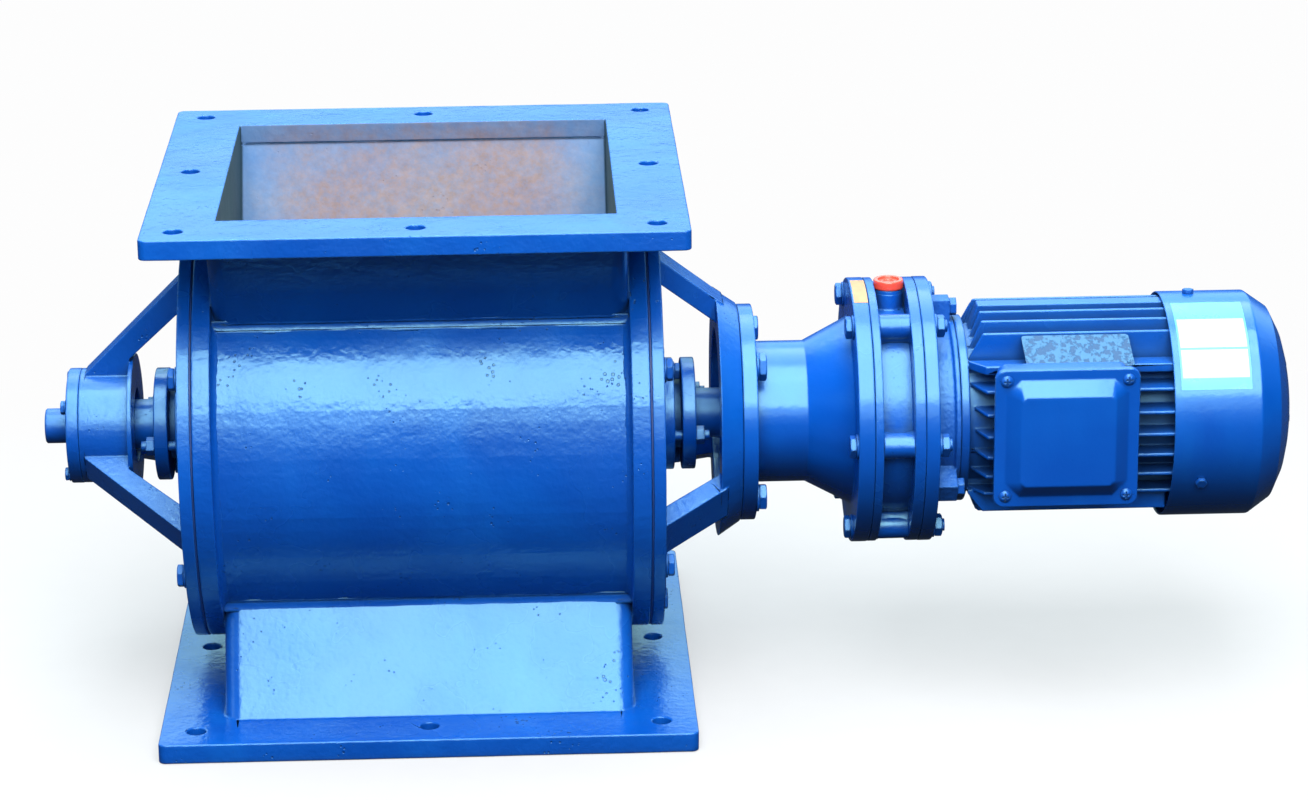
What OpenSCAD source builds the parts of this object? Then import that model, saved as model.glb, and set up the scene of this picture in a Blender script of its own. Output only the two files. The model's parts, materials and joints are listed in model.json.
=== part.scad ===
// Rotary airlock valve with a cycloidal reducer and a flanged motor.
// The shaft lies along X, the drive is on the +X side, +Z is up.
// The origin is the centre of the outlet flange's bottom face.

/* [Valve body] */
// Side of the square inlet and outlet openings
opening = 300; // [260:2:340]
// Thickness of the throat walls
throat_wall = 10; // [7:0.5:13]
// Height of the rotor axis above the outlet face
axis_h = 208; // [200:1:230]
// Thickness of the inlet and outlet flanges
flange_t = 16; // [12:1:20]
// Width of the inlet flange's land around the opening
inlet_land = 55; // [48:1:65]
// Width of the outlet flange's land around the opening
outlet_land = 58; // [50:1:68]
// Distance of the flange holes from the opening
hole_offset = 30; // [26:1:32]
// Diameter of the flange holes
hole_d = 14; // [10:0.5:16]
// Corner radius of the inlet and outlet flanges
flange_corner = 6; // [2:1:12]
// Radius of the rotor bore
bore_r = 148; // [140:1:152]
// Wall thickness of the barrel
barrel_wall = 12; // [9:0.5:15]
// Thickness of the barrel's end flanges
end_flange_t = 15; // [12:1:20]
// Radial width of the end flanges, measured from the bore
end_flange_w = 22; // [19:0.5:26]
// Outer depth of the throats where they meet the barrel
throat_neck = 226; // [212:2:250]
// Outer corner radius of the throats
throat_corner = 14; // [10.5:0.5:20]

/* [End covers] */
// Thickness of the cover gaskets
gasket_t = 1; // [0.5:0.25:2]
// Thickness of the end covers
cover_t = 10; // [9:0.5:14]
// Number of bolts in each end cover
cover_bolts_n = 6; // [6:2:8]
// Thread diameter of the cover bolts
cover_bolt_d = 10; // [8:1:11]
// Free width between the left cover and its bearing housing
left_reach = 48; // [44:1:60]
// Width of the left bracket's legs
left_leg_w = 24; // [18:1:34]
// Free width between the right cover and the reducer seat
right_reach = 46; // [42:1:60]
// Width of the right bracket's legs
right_leg_w = 34; // [24:1:40]
// Thickness of the reducer seat ring
seat_ring_t = 18; // [15:0.5:22]

/* [Shaft seals] */
// Diameter of the stuffing box flanges and gland flanges
gland_flange_d = 90; // [88:1:98]
// Thickness of the stuffing box flanges
stuffing_flange_t = 12; // [10:0.5:14]
// Section of the square packing rings
packing_s = 8; // [6:0.5:8.5]
// Number of packing rings in each stuffing box
packing_n = 2; // [1:1:2]
// Thickness of the gland flanges
gland_t = 11; // [8:0.5:12]
// Gap between the stuffing box flange and the gland flange
gland_gap = 6; // [4:0.5:7]
// Thread diameter of the gland studs and stuffing box bolts
gland_bolt_d = 8; // [6:0.5:8]

/* [Rotor] */
// Number of rotor vanes
vane_n = 8; // [6:1:10]
// Thickness of the rotor vanes
vane_t = 8; // [5:0.5:12]
// Gap between the vane tips and the bore
tip_gap = 0.4; // [0.3:0.05:1]
// Gap between the rotor and each end cover
end_gap = 0.5; // [0.3:0.05:1]
// Outer diameter of the rotor hub
hub_d = 90; // [70:1:110]
// Shaft diameter inside the hub
shaft_hub_d = 50; // [44:1:56]
// Shaft diameter at the seals
shaft_seal_d = 40; // [38:0.5:42]
// Shaft diameter in the bearing and in the reducer
shaft_seat_d = 35; // [32:0.5:36]
// Diameter of the free shaft end
stub_d = 28; // [20:0.5:30]
// Length of the free shaft end
stub_len = 20; // [12:1:40]

/* [Rotor bearing] */
// Outer diameter of the rotor bearing
bearing_od = 72; // [70:0.5:74]
// Width of the rotor bearing
bearing_w = 17; // [14:0.5:18]
// Outer diameter of the bearing housing and its cap
bearing_housing_d = 92; // [88:1:104]
// Length of the bearing housing
bearing_housing_len = 40; // [38:1:50]
// Thickness of the bearing cap
cap_t = 10; // [8:0.5:14]

/* [Reducer] */
// Diameter of the reducer's mounting flange
mount_flange_d = 174; // [168:1:186]
// Thickness of the mounting flange
mount_flange_t = 12; // [10:0.5:15]
// Outer diameter of the reducer's neck
neck_d = 113.5; // [108:0.5:118]
// Length of the neck
neck_len = 41; // [38:0.5:50]
// Length of the cone behind the neck
cone_len = 36; // [34:0.5:44]
// Diameter of the reducer's large flanges
ring_flange_d = 213; // [204:1:216]
// Thickness of the output housing's large flange
output_flange_t = 13; // [10:0.5:16]
// Width of the ring gear housing
ring_w = 40; // [38:0.5:48]
// Thickness of the input flange
input_flange_t = 11; // [9:0.5:15]
// Radius of the ring pin circle
pin_circle_r = 72; // [71:0.5:73]
// Diameter of the ring pins
ring_pin_d = 8; // [7:0.25:8.5]
// Eccentricity of the cycloidal discs
ecc = 1.5; // [1:0.05:1.6]
// Running gap of the disc lobes and of the output pins
mesh_gap = 0.35; // [0.3:0.01:0.4]
// Thickness of each cycloidal disc
disc_t = 15; // [12:0.5:15.5]
// Diameter of the output pins
output_pin_d = 10; // [8:0.5:11]

/* [Motor] */
// Diameter of the fan cowl
cowl_d = 181; // [176:1:190]
// Length of the fan cowl
cowl_len = 102.5; // [92:1:110]
// Sheet thickness of the fan cowl
cowl_t = 1.6; // [1:0.1:2]
// Length of the motor frame
frame_len = 172; // [160:1:190]
// Length of the drive end shield
shield_len = 20; // [18:0.5:24]
// Thickness of the cooling fins
fin_t = 3; // [2:0.25:4]
// Outer diameter of the stator core
stator_d = 120; // [112:1:122]
// Diameter of the motor shaft in the reducer
motor_shaft_d = 19; // [16:0.5:20]
// Number of blades on the cooling fan
fan_blades_n = 7; // [5:1:9]

/* [Terminal box] */
// Width of the terminal box lid
lid_w = 113; // [100:1:120]
// Height of the terminal box lid
lid_h = 112; // [100:1:118]
// Height of the lid's centre above the axis
lid_up = 11; // [4:1:16]
// Distance of the lid's flange face from the axis
lid_reach = 118; // [112:1:130]
// Height of the lid's raised panel
panel_h = 10; // [6:0.5:14]

/* [Hidden] */
fit = 0.05;          // radial gap of pieces seated in each other
run = 0.3;           // gap between faces that move past each other
eps = 0.5;           // how far a cut runs past a face
$fn = 96;
hull_fn = 32;

// Valve body
open_h = opening / 2;
barrel_r = bore_r + barrel_wall;
end_r = bore_r + end_flange_w;
body_h = open_h + throat_wall + end_flange_t;
throat_h = open_h + throat_wall;
top_z = 2 * axis_h;
neck_h = throat_neck / 2;
neck_rise = sqrt(barrel_r * barrel_r - neck_h * neck_h);
throat_sink = 22;
throat_slope = (throat_h - neck_h) / (axis_h - flange_t - neck_rise);
fillet_r = 4;

// End covers and bolts
cover_in = body_h + gasket_t;
cover_out = cover_in + cover_t;
bolt_circle = bore_r + end_flange_w / 2;
thread_depth = end_flange_t - 2;
head_f = 0.66;       // head height over thread diameter
across_f = 1.6;      // width across flats over thread diameter

// Stuffing boxes and glands
shaft_r = shaft_seal_d / 2;
seal_r = shaft_r + packing_s;
spigot_r = seal_r + 4;
flange_r = gland_flange_d / 2;
stud_circle = flange_r - 7;
gland_in = cover_out + stuffing_flange_t + gland_gap;
gland_out = gland_in + gland_t;
packing_in = cover_in + 2;
packing_out = packing_in + packing_n * packing_s;
stud_angles = [100, 280];
box_bolt_angles = [10, 190];

// Left bearing, from the cover outwards
house_in = cover_out + left_reach;
house_out = house_in + bearing_housing_len;
cap_out = house_out + cap_t;
shaft_left = cap_out + stub_len;
bearing_in = house_in + 11;
bearing_out = bearing_in + bearing_w;
house_r = bearing_housing_d / 2;
race_r = bearing_od / 2;
seat_r = shaft_seat_d / 2;
nut_t = 8;
nut_r = seat_r + 8;
cap_bolt_d = 6;
cap_bolt_angles = [52, 142, 232, 322];
cap_bolt_circle = (race_r + house_r) / 2;
leg_sink = 3;
left_leg_drop = 41;
left_leg_depth = 27;
plate_r = house_r + 11;
plate_t = 3;
collar_r = stub_d / 2 + 1.5;
collar_out = cap_out + 1;
cap_thread = 13;

// Reducer seat and reducer, from the cover outwards
seat_in = cover_out + right_reach;
seat_out = seat_in + seat_ring_t;
mount_r = mount_flange_d / 2;
seat_bore_r = mount_r - 19;
seat_rim_r = mount_r + 13;
mount_bolt_d = 12;
mount_thread = 13;
mount_bolt_angles = [45, 135, 225, 315];
mount_bolt_circle = mount_r - 10.5;
mount_out = seat_out + mount_flange_t;
neck_out = mount_out + neck_len;
ring_flange_in = neck_out + cone_len;
ring_in = ring_flange_in + output_flange_t;
ring_out = ring_in + ring_w;
input_out = ring_out + input_flange_t;
neck_r = neck_d / 2;
ring_r = ring_flange_d / 2;
cone_r = 75.5;
neck_bore_r = neck_r - 11.75;
neck_bearing_w = 20;
output_r = 25;
output_in = seat_out - 5;
output_disc_in = ring_flange_in - 6;
output_disc_t = 14;
output_disc_out = output_disc_in + output_disc_t;
seal_in = seat_out - 3;
seal_w = 8;
first_bearing = mount_out + 4;
second_bearing = first_bearing + neck_bearing_w + 5;
through_bolt_d = 10;
through_circle = ring_r - 10.5;
through_angles = [-30, 30, 90, 150, 210, 270];
boss_r = 10.3;
left_lip = 7;
right_lip = 9;
drum_r = pin_circle_r + 15;
plug_d = 24;
plug_h = 10;
plug_boss_in = drum_r - 4;
plug_boss_out = drum_r + 12;
plug_neck_r = 7;

// Rotor
rotor_h = cover_in - end_gap;
vane_tip_r = bore_r - tip_gap;
hub_r = hub_d / 2;
key_w = 10;
key_h = 8;
shaft_end = output_disc_in - 4;

// Cycloidal stage
pin_n = 30;
ring_pin_r = ring_pin_d / 2;
output_pin_n = 8;
output_pin_r = output_pin_d / 2;
output_circle = 44;
output_hole_r = output_pin_r + ecc + mesh_gap;
output_disc_r = output_circle + output_pin_r + 6;
disc_gap = 3;
pin_end_gap = 2;
disc_a_in = ring_in + (ring_w - 2 * disc_t - disc_gap) / 2;
disc_b_in = disc_a_in + disc_t + disc_gap;
sleeve_r = 16.5;
roller_r = 3.5;
roller_gap = 0.3;
roller_n = 12;
roller_circle = sleeve_r + roller_r + roller_gap;
disc_bore_r = roller_circle + roller_r + roller_gap;
lobe_steps = 12;
valley_bias = 0.75;

// Motor
motor_r = motor_shaft_d / 2;
shield_out = input_out + shield_len;
frame_out = shield_out + frame_len;
stator_r = stator_d / 2;
frame_r = stator_r + 7;
rim_r = frame_r + 8;
rim_t = 7;
cowl_r = cowl_d / 2;
fin_r = cowl_r - cowl_t - 1;
cowl_in = frame_out - 5.5;
cowl_out = cowl_in + cowl_len;
journal_r = 10;
small_race_r = 23.5;
small_bearing_w = 14;
front_bearing = shield_out - small_bearing_w - 3;
rear_shield_t = 18;
rear_out = frame_out + rear_shield_t;
rear_bearing = frame_out + 2;
core_len = 80;
core_in = shield_out + (frame_len - core_len) / 2;
air_gap = 0.4;
core_bore_r = 35;
core_shaft_r = 15;
coil_len = 22;
ear_w = 18;
ear_t = shield_len - 3;
ear_r = fin_r + 5;
ear_bolt_d = 8;
ear_circle = ear_r - 8;
ear_angles = [0, 120, 240];
shield_screw_d = 5;
shield_screw_circle = stator_r + 5.2;
shield_boss_r = 4.8;
shield_screw_angles = [45, 135, 225, 315];
cowl_screw_d = 5;
cowl_screw_angles = [-4, 116, 236];
cowl_ear_len = 26;
cowl_screw_x = frame_out + cowl_ear_len - 8;
fan_in = frame_out + cowl_ear_len + 3;
fan_w = 26;
fan_r = cowl_r - 14;
fan_shaft_r = 8;
shaft_right = fan_in + fan_w + 3;
shaft_tip = output_disc_out - 6;
top_fins = [18, 31, 44];
bottom_fins = [0, 14, 28];
side_fin_pitch = 17.3;
side_fins = [for (i = [-3 : 2]) 2 + side_fin_pitch * i];
corner_fin_t = 7;
corner_fin_z = 51.4;
fin_chamfer = 12;
fin_root = frame_r - 14;
fin_sink = stator_r - 10;
pad_w = 14;
rail_in = 42;
rail_out = 60;
rail_z = 68.6;

// Terminal box
lid_x = shield_out + 77;
lid_t = 6;
box_inset = 5;
box_wall = 4;
lid_in = lid_reach - lid_t;
box_back = fin_r - 4;
box_corner = 8;
lid_screw_d = 5;
lid_screw_inset = 9;
box_w = lid_w - 2 * box_inset;
box_h = lid_h - 2 * box_inset;
box_gap = 1;
pad_inset = 14;
panel_inset = 8;
panel_slope = 11.5;
panel_cut = 12;
entry_r = 12.5;
entry_up = 25;
wire_hole_r = 12;
block_w = 56;
block_h = 22;
block_t = 9;
entry_boss_r = 17;
entry_boss_h = 6;

cast_blue = [0.10, 0.33, 0.72];
steel = [0.66, 0.68, 0.70];
dark_steel = [0.40, 0.42, 0.45];
bolt_blue = [0.13, 0.30, 0.60];
copper = [0.72, 0.42, 0.22];

// ---------- helpers ----------

// Puts children in the shaft's frame: local z runs along +X, local x along +Y, local y along +Z.
module on_axis(x = 0) {
    translate([x, 0, axis_h])
        rotate([90, 0, 90])
            children();
}

// Turns children to an angle measured from the top towards the front, at a radius.
module at_angle(beta, r = 0) {
    rotate([0, 0, 90 + beta])
        translate([r, 0, 0])
            children();
}

// Solid of revolution about the shaft, from points [radius, x].
module turned(points) {
    on_axis()
        rotate_extrude()
            polygon(points);
}

// Plate standing on the shaft, turned about it, from points [radius, x].
module radial_plate(turn, thick, points) {
    rotate([0, 0, turn])
        translate([-thick / 2, 0, 0])
            rotate([90, 0, 90])
                linear_extrude(height = thick)
                    polygon(points);
}

module disc(x1, x2, r) {
    on_axis(x1)
        cylinder(h = x2 - x1, r = r);
}

module ring(x1, x2, r_out, r_in) {
    on_axis(x1)
        difference() {
            cylinder(h = x2 - x1, r = r_out);
            translate([0, 0, -eps])
                cylinder(h = x2 - x1 + 2 * eps, r = r_in);
        }
}

// Hex bolt with the seat of its head at z = 0, the shank towards -z.
module hex_bolt(d, len) {
    cylinder(h = d * head_f, r = d * across_f / 2 / cos(30), $fn = 6);
    translate([0, 0, -len])
        cylinder(h = len, r = d / 2);
}

// Socket head screw with the seat of its head at z = 0, the shank towards -z.
module socket_screw(d, len) {
    difference() {
        cylinder(h = d, r = d * 0.8);
        translate([0, 0, d / 2])
            cylinder(h = d, r = d * 0.46, $fn = 6);
    }
    translate([0, 0, -len])
        cylinder(h = len, r = d / 2);
}

// Low round head screw with a cross slot.
module pan_screw(d, len) {
    difference() {
        intersection() {
            cylinder(h = d * 0.6, r = d * 0.95);
            translate([0, 0, -d * 0.65])
                sphere(r = d * 1.25);
        }
        for (a = [0, 90])
            rotate([0, 0, a])
                translate([-d * 0.55, -d * 0.1, d * 0.32])
                    cube([d * 1.1, d * 0.2, d]);
    }
    translate([0, 0, -len])
        cylinder(h = len, r = d / 2);
}

module hex_nut(d, h) {
    difference() {
        cylinder(h = h, r = d * across_f / 2 / cos(30), $fn = 6);
        translate([0, 0, -eps])
            cylinder(h = h + 2 * eps, r = d / 2 + fit);
    }
}

module rounded_square(w, d, r) {
    translate([-w / 2 + r, -d / 2])
        square([w - 2 * r, d]);
    translate([-w / 2, -d / 2 + r])
        square([w, d - 2 * r]);
    for (sx = [-1, 1], sy = [-1, 1])
        translate([sx * (w / 2 - r), sy * (d / 2 - r)])
            circle(r = r, $fn = hull_fn);
}

module rounded_plate(w, d, h, r) {
    linear_extrude(height = h)
        rounded_square(w, d, r);
}

// ---------- valve body ----------

// One throat: straight across X, tapered in Y, from the flange down into the barrel.
module throat(half, corner, extra) {
    rise = axis_h - flange_t;
    sunk = neck_rise - throat_sink;
    hull() {
        translate([0, 0, rise])
            rounded_plate(2 * half, 2 * (half + throat_slope * extra), extra + 0.01, corner);
        translate([0, 0, sunk])
            rounded_plate(2 * half, 2 * (half - throat_slope * (rise - sunk)), 0.01, corner);
    }
}

module both_throats(half, corner, extra = 0) {
    for (up = [0, 1])
        translate([0, 0, axis_h])
            mirror([0, 0, 1 - up])
                throat(half, corner, extra);
}

module flange_holes() {
    pitch = open_h + hole_offset;
    for (ix = [-1 : 1], iy = [-1 : 1])
        if (ix != 0 || iy != 0)
            translate([ix * pitch, iy * pitch, -eps])
                cylinder(h = flange_t + 2 * eps, r = hole_d / 2);
}

module port_flange(land) {
    side = opening + 2 * land;
    difference() {
        rounded_plate(side, side, flange_t, flange_corner);
        translate([-open_h, -open_h, -eps])
            cube([opening, opening, flange_t + 2 * eps]);
        flange_holes();
    }
}

// Cast fillet where a throat wall runs into the barrel.
module neck_fillet() {
    corner = [neck_h, neck_rise];
    wall_dir = [throat_slope, 1] / norm([throat_slope, 1]);
    barrel_dir = [neck_rise, -neck_h] / barrel_r;
    half_angle = acos(wall_dir * barrel_dir) / 2;
    reach = fillet_r / tan(half_angle);
    middle = (wall_dir + barrel_dir) / norm(wall_dir + barrel_dir);
    centre = corner + middle * fillet_r / sin(half_angle);
    for (up = [0, 1], side = [0, 1])
        translate([0, 0, axis_h])
            mirror([0, 0, 1 - up])
                mirror([0, side, 0])
                    translate([-throat_h, 0, 0])
                        rotate([90, 0, 90])
                            linear_extrude(height = 2 * throat_h)
                                difference() {
                                    polygon([
                                        corner - middle * throat_wall / 2,
                                        corner + barrel_dir * reach,
                                        centre,
                                        corner + wall_dir * reach
                                    ]);
                                    translate(centre)
                                        circle(r = fillet_r);
                                }
}

module housing() {
    color(cast_blue) {
        difference() {
            union() {
                disc(-body_h, body_h, barrel_r);
                disc(-body_h, end_flange_t - body_h, end_r);
                disc(body_h - end_flange_t, body_h, end_r);
                both_throats(throat_h, throat_corner);
                neck_fillet();
            }
            disc(-body_h - eps, body_h + eps, bore_r);
            both_throats(open_h, throat_corner - throat_wall, 1);
            for (s = [-1, 1], i = [0 : cover_bolts_n - 1])
                on_axis(s * (body_h - thread_depth / 2))
                    at_angle(i * 360 / cover_bolts_n, bolt_circle)
                        cylinder(h = thread_depth + 2 * eps, r = cover_bolt_d / 2 + fit, center = true);
        }
        port_flange(outlet_land);
        translate([0, 0, top_z - flange_t])
            port_flange(inlet_land);
    }
}

// ---------- end covers ----------

// Cover plate with its bolt holes, its outer face towards +x for side 1 and -x for side -1.
module cover_plate(side) {
    on_axis()
        mirror([0, 0, side > 0 ? 0 : 1])
            difference() {
                translate([0, 0, cover_in])
                    cylinder(h = cover_t, r = end_r);
                translate([0, 0, cover_in - eps])
                    cylinder(h = cover_t + 2 * eps, r = spigot_r + fit);
                for (i = [0 : cover_bolts_n - 1])
                    at_angle(i * 360 / cover_bolts_n, bolt_circle)
                        translate([0, 0, cover_in - eps])
                            cylinder(h = cover_t + 2 * eps, r = cover_bolt_d / 2 + 0.5);
                for (a = box_bolt_angles)
                    at_angle(a, stud_circle)
                        translate([0, 0, cover_in - eps])
                            cylinder(h = cover_t + 2 * eps, r = gland_bolt_d / 2 + fit);
            }
}

// One bracket leg in the plane through the shaft, from points [x, radius].
module leg(points, width, beta) {
    on_axis()
        radial_plate(beta, width, [for (p = points) [p[1], p[0]]]);
}

module end_cover_left() {
    leg_top = end_r - left_leg_drop;
    leg_low = leg_top - left_leg_depth;
    outer_rise = (leg_top - house_r) / (house_out - 4 - cover_out);
    points = [
        [-cover_out + leg_sink, leg_top + leg_sink * outer_rise],
        [-cover_out + leg_sink, leg_low],
        [-cover_out, leg_low],
        [-house_in, house_r + 12],
        [-house_in, house_r - 6],
        [-house_out + 4, house_r - 6],
        [-house_out + 4, house_r]
    ];
    color(cast_blue)
        union() {
            cover_plate(-1);
            difference() {
                union() {
                    for (b = [0, 120, 240])
                        leg(points, left_leg_w, b);
                    disc(-house_out, -house_in, house_r);
                    disc(-house_in - 1, -house_in + plate_t, plate_r);
                }
                disc(-house_out - eps, -bearing_in, race_r + fit);
                disc(-bearing_in - eps, -house_in + plate_t + eps, race_r - 7);
                for (a = cap_bolt_angles)
                    on_axis(-house_out - eps)
                        at_angle(a, cap_bolt_circle)
                            cylinder(h = 16, r = cap_bolt_d / 2 + fit);
            }
        }
}

module end_cover_right() {
    points = [
        [cover_out - leg_sink, end_r - 33],
        [seat_in, seat_rim_r],
        [seat_in + 6, seat_rim_r - 4],
        [seat_in + 6, seat_rim_r - 24],
        [seat_in, seat_rim_r - 20],
        [cover_out - leg_sink, end_r - 54]
    ];
    color(cast_blue)
        union() {
            cover_plate(1);
            difference() {
                union() {
                    for (b = [0, 120, 240])
                        leg(points, right_leg_w, b);
                    turned([
                        [seat_bore_r, seat_in],
                        [seat_rim_r, seat_in],
                        [mount_r + 1, seat_out],
                        [seat_bore_r, seat_out]
                    ]);
                }
                for (a = mount_bolt_angles)
                    on_axis(seat_out - mount_thread - 1)
                        at_angle(a, mount_bolt_circle)
                            cylinder(h = mount_thread + 1 + eps, r = mount_bolt_d / 2 + fit);
            }
        }
}

module cover_gaskets() {
    color([0.12, 0.12, 0.13])
        for (x = [-cover_in, body_h])
            on_axis(x)
                difference() {
                    cylinder(h = gasket_t, r = end_r - 1);
                    translate([0, 0, -eps])
                        cylinder(h = gasket_t + 2 * eps, r = bore_r);
                    for (i = [0 : cover_bolts_n - 1])
                        at_angle(i * 360 / cover_bolts_n, bolt_circle)
                            translate([0, 0, -eps])
                                cylinder(h = gasket_t + 2 * eps, r = cover_bolt_d / 2 + 0.5);
                }
}

module cover_bolts() {
    color(bolt_blue)
        for (s = [0, 1])
            on_axis()
                mirror([0, 0, s])
                    for (i = [0 : cover_bolts_n - 1])
                        at_angle(i * 360 / cover_bolts_n, bolt_circle)
                            translate([0, 0, cover_out])
                                hex_bolt(cover_bolt_d, cover_t + gasket_t + thread_depth - 3);
}

// ---------- shaft seals ----------

module stuffing_box() {
    difference() {
        union() {
            translate([0, 0, cover_in])
                cylinder(h = cover_t + eps, r = spigot_r);
            translate([0, 0, cover_out])
                cylinder(h = stuffing_flange_t, r = flange_r);
        }
        translate([0, 0, cover_in - eps])
            cylinder(h = cover_t + stuffing_flange_t + 2 * eps, r = shaft_r + run);
        translate([0, 0, packing_in])
            cylinder(h = cover_t + stuffing_flange_t, r = seal_r + fit);
        for (a = stud_angles)
            at_angle(a, stud_circle)
                translate([0, 0, cover_out + 1])
                    cylinder(h = stuffing_flange_t, r = gland_bolt_d / 2 + fit);
        for (a = box_bolt_angles)
            at_angle(a, stud_circle)
                translate([0, 0, cover_out - eps])
                    cylinder(h = stuffing_flange_t + 2 * eps, r = gland_bolt_d / 2 + 0.5);
    }
}

module gland() {
    difference() {
        union() {
            translate([0, 0, packing_out])
                cylinder(h = gland_in - packing_out + eps, r = seal_r - 0.1);
            translate([0, 0, gland_in])
                cylinder(h = gland_t, r = flange_r);
        }
        translate([0, 0, packing_out - eps])
            cylinder(h = gland_out - packing_out + 2 * eps, r = shaft_r + run);
        for (a = stud_angles)
            at_angle(a, stud_circle)
                translate([0, 0, gland_in - eps])
                    cylinder(h = gland_t + 2 * eps, r = gland_bolt_d / 2 + 0.5);
    }
}

module stuffing_box_left() {
    color(cast_blue)
        on_axis()
            mirror([0, 0, 1])
                stuffing_box();
}

module stuffing_box_right() {
    color(cast_blue)
        on_axis()
            stuffing_box();
}

module gland_left() {
    color(cast_blue)
        on_axis()
            mirror([0, 0, 1])
                gland();
}

module gland_right() {
    color(cast_blue)
        on_axis()
            gland();
}

module stuffing_box_bolts() {
    color(bolt_blue)
        for (s = [0, 1])
            on_axis()
                mirror([0, 0, s])
                    for (a = box_bolt_angles)
                        at_angle(a, stud_circle)
                            translate([0, 0, cover_out + stuffing_flange_t])
                                hex_bolt(gland_bolt_d, stuffing_flange_t + cover_t - 1);
}

module packing_rings() {
    color([0.85, 0.82, 0.74])
        for (s = [0, 1])
            on_axis()
                mirror([0, 0, s])
                    for (i = [0 : packing_n - 1])
                        translate([0, 0, packing_in + i * packing_s])
                            difference() {
                                cylinder(h = packing_s, r = seal_r);
                                translate([0, 0, -eps])
                                    cylinder(h = packing_s + 2 * eps, r = shaft_r + fit);
                            }
}

module gland_studs() {
    stud_len = gland_out + gland_bolt_d * 0.8 + 4 - cover_out - 1.5;
    color(steel)
        for (s = [0, 1])
            on_axis()
                mirror([0, 0, s])
                    for (a = stud_angles)
                        at_angle(a, stud_circle)
                            translate([0, 0, cover_out + 1.5])
                                cylinder(h = stud_len, r = gland_bolt_d / 2);
}

module gland_nuts() {
    color(bolt_blue)
        for (s = [0, 1])
            on_axis()
                mirror([0, 0, s])
                    for (a = stud_angles)
                        at_angle(a, stud_circle)
                            translate([0, 0, gland_out])
                                hex_nut(gland_bolt_d, gland_bolt_d * 0.8);
}

// ---------- ball bearings ----------

// Ball size and pitch radius of a bearing, from its bore and outer radius.
function ball_r(bore, outer) = (outer - bore) * 0.3;
function pitch_r(bore, outer) = (outer + bore) / 2;

// Profile of an outer ring with its raceway, centred on z = 0.
module outer_race(bore, outer, width) {
    br = ball_r(bore, outer);
    pr = pitch_r(bore, outer);
    rotate_extrude()
        difference() {
            translate([pr + br * 0.55, -width / 2])
                square([outer - pr - br * 0.55, width]);
            translate([pr, 0])
                circle(r = br + run);
        }
}

module inner_race(bore, outer, width) {
    br = ball_r(bore, outer);
    pr = pitch_r(bore, outer);
    rotate_extrude()
        difference() {
            translate([bore, -width / 2])
                square([pr - br * 0.55 - bore, width]);
            translate([pr, 0])
                circle(r = br + run);
        }
}

// Balls held by a cage ring, centred on z = 0.
module ball_set(bore, outer, n) {
    br = ball_r(bore, outer);
    pr = pitch_r(bore, outer);
    rotate_extrude()
        translate([pr - br * 0.22, -br * 0.8])
            square([br * 0.44, br * 1.6]);
    for (i = [0 : n - 1])
        rotate([0, 0, i * 360 / n])
            translate([pr, 0, 0])
                sphere(r = br, $fn = 48);
}

module bearing_outer_ring() {
    color(steel)
        on_axis(-(bearing_in + bearing_out) / 2)
            outer_race(seat_r, race_r, bearing_w);
}

module bearing_inner_ring() {
    color(steel)
        on_axis(-(bearing_in + bearing_out) / 2)
            inner_race(seat_r + fit, race_r, bearing_w);
}

module bearing_balls() {
    color(dark_steel)
        on_axis(-(bearing_in + bearing_out) / 2)
            ball_set(seat_r, race_r, 9);
}

module bearing_cap() {
    color(cast_blue)
        on_axis()
            mirror([0, 0, 1])
                difference() {
                    union() {
                        translate([0, 0, house_out])
                            cylinder(h = cap_t, r = house_r);
                        translate([0, 0, bearing_out])
                            cylinder(h = house_out - bearing_out + eps, r = race_r);
                    }
                    translate([0, 0, bearing_out - eps])
                        cylinder(h = house_out - bearing_out + 2 * eps, r = race_r - 6);
                    translate([0, 0, house_out])
                        cylinder(h = cap_t + eps, r = collar_r + run);
                    for (a = cap_bolt_angles)
                        at_angle(a, cap_bolt_circle)
                            translate([0, 0, house_out - eps])
                                cylinder(h = cap_t + 2 * eps, r = cap_bolt_d / 2 + 0.3);
                }
}

module bearing_cap_bolts() {
    color(bolt_blue)
        on_axis()
            mirror([0, 0, 1])
                for (a = cap_bolt_angles)
                    at_angle(a, cap_bolt_circle)
                        translate([0, 0, cap_out])
                            hex_bolt(cap_bolt_d, cap_t + cap_thread);
}

module bearing_lock_nut() {
    slot_w = 5;
    color(steel)
        on_axis(-bearing_out - nut_t)
            difference() {
                cylinder(h = nut_t, r = nut_r);
                translate([0, 0, -eps])
                    cylinder(h = nut_t + 2 * eps, r = seat_r + fit);
                for (a = [0 : 90 : 270])
                    rotate([0, 0, a])
                        translate([nut_r - 2.5, -slot_w / 2, -eps])
                            cube([4, slot_w, nut_t + 2 * eps]);
            }
}

// ---------- rotor ----------

module rotor_shaft() {
    key_top = shaft_hub_d / 2 - 5;
    seat_key_top = seat_r - 5;
    color(steel)
        difference() {
            turned([
                [0, -shaft_left],
                [stub_d / 2 - 1, -shaft_left],
                [stub_d / 2, -shaft_left + 1],
                [stub_d / 2, -collar_out],
                [collar_r, -collar_out],
                [collar_r, -bearing_out - nut_t],
                [seat_r, -bearing_out - nut_t],
                [seat_r, -bearing_in],
                [shaft_r, -bearing_in],
                [shaft_r, -rotor_h],
                [shaft_hub_d / 2, -rotor_h],
                [shaft_hub_d / 2, rotor_h],
                [shaft_r, rotor_h],
                [shaft_r, output_in],
                [seat_r, output_in],
                [seat_r, shaft_end],
                [0, shaft_end]
            ]);
            translate([-30, -key_w / 2, axis_h + key_top])
                cube([60, key_w, key_h]);
            translate([mount_out, -key_w / 2, axis_h + seat_key_top])
                cube([50, key_w, key_h]);
        }
}

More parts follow.
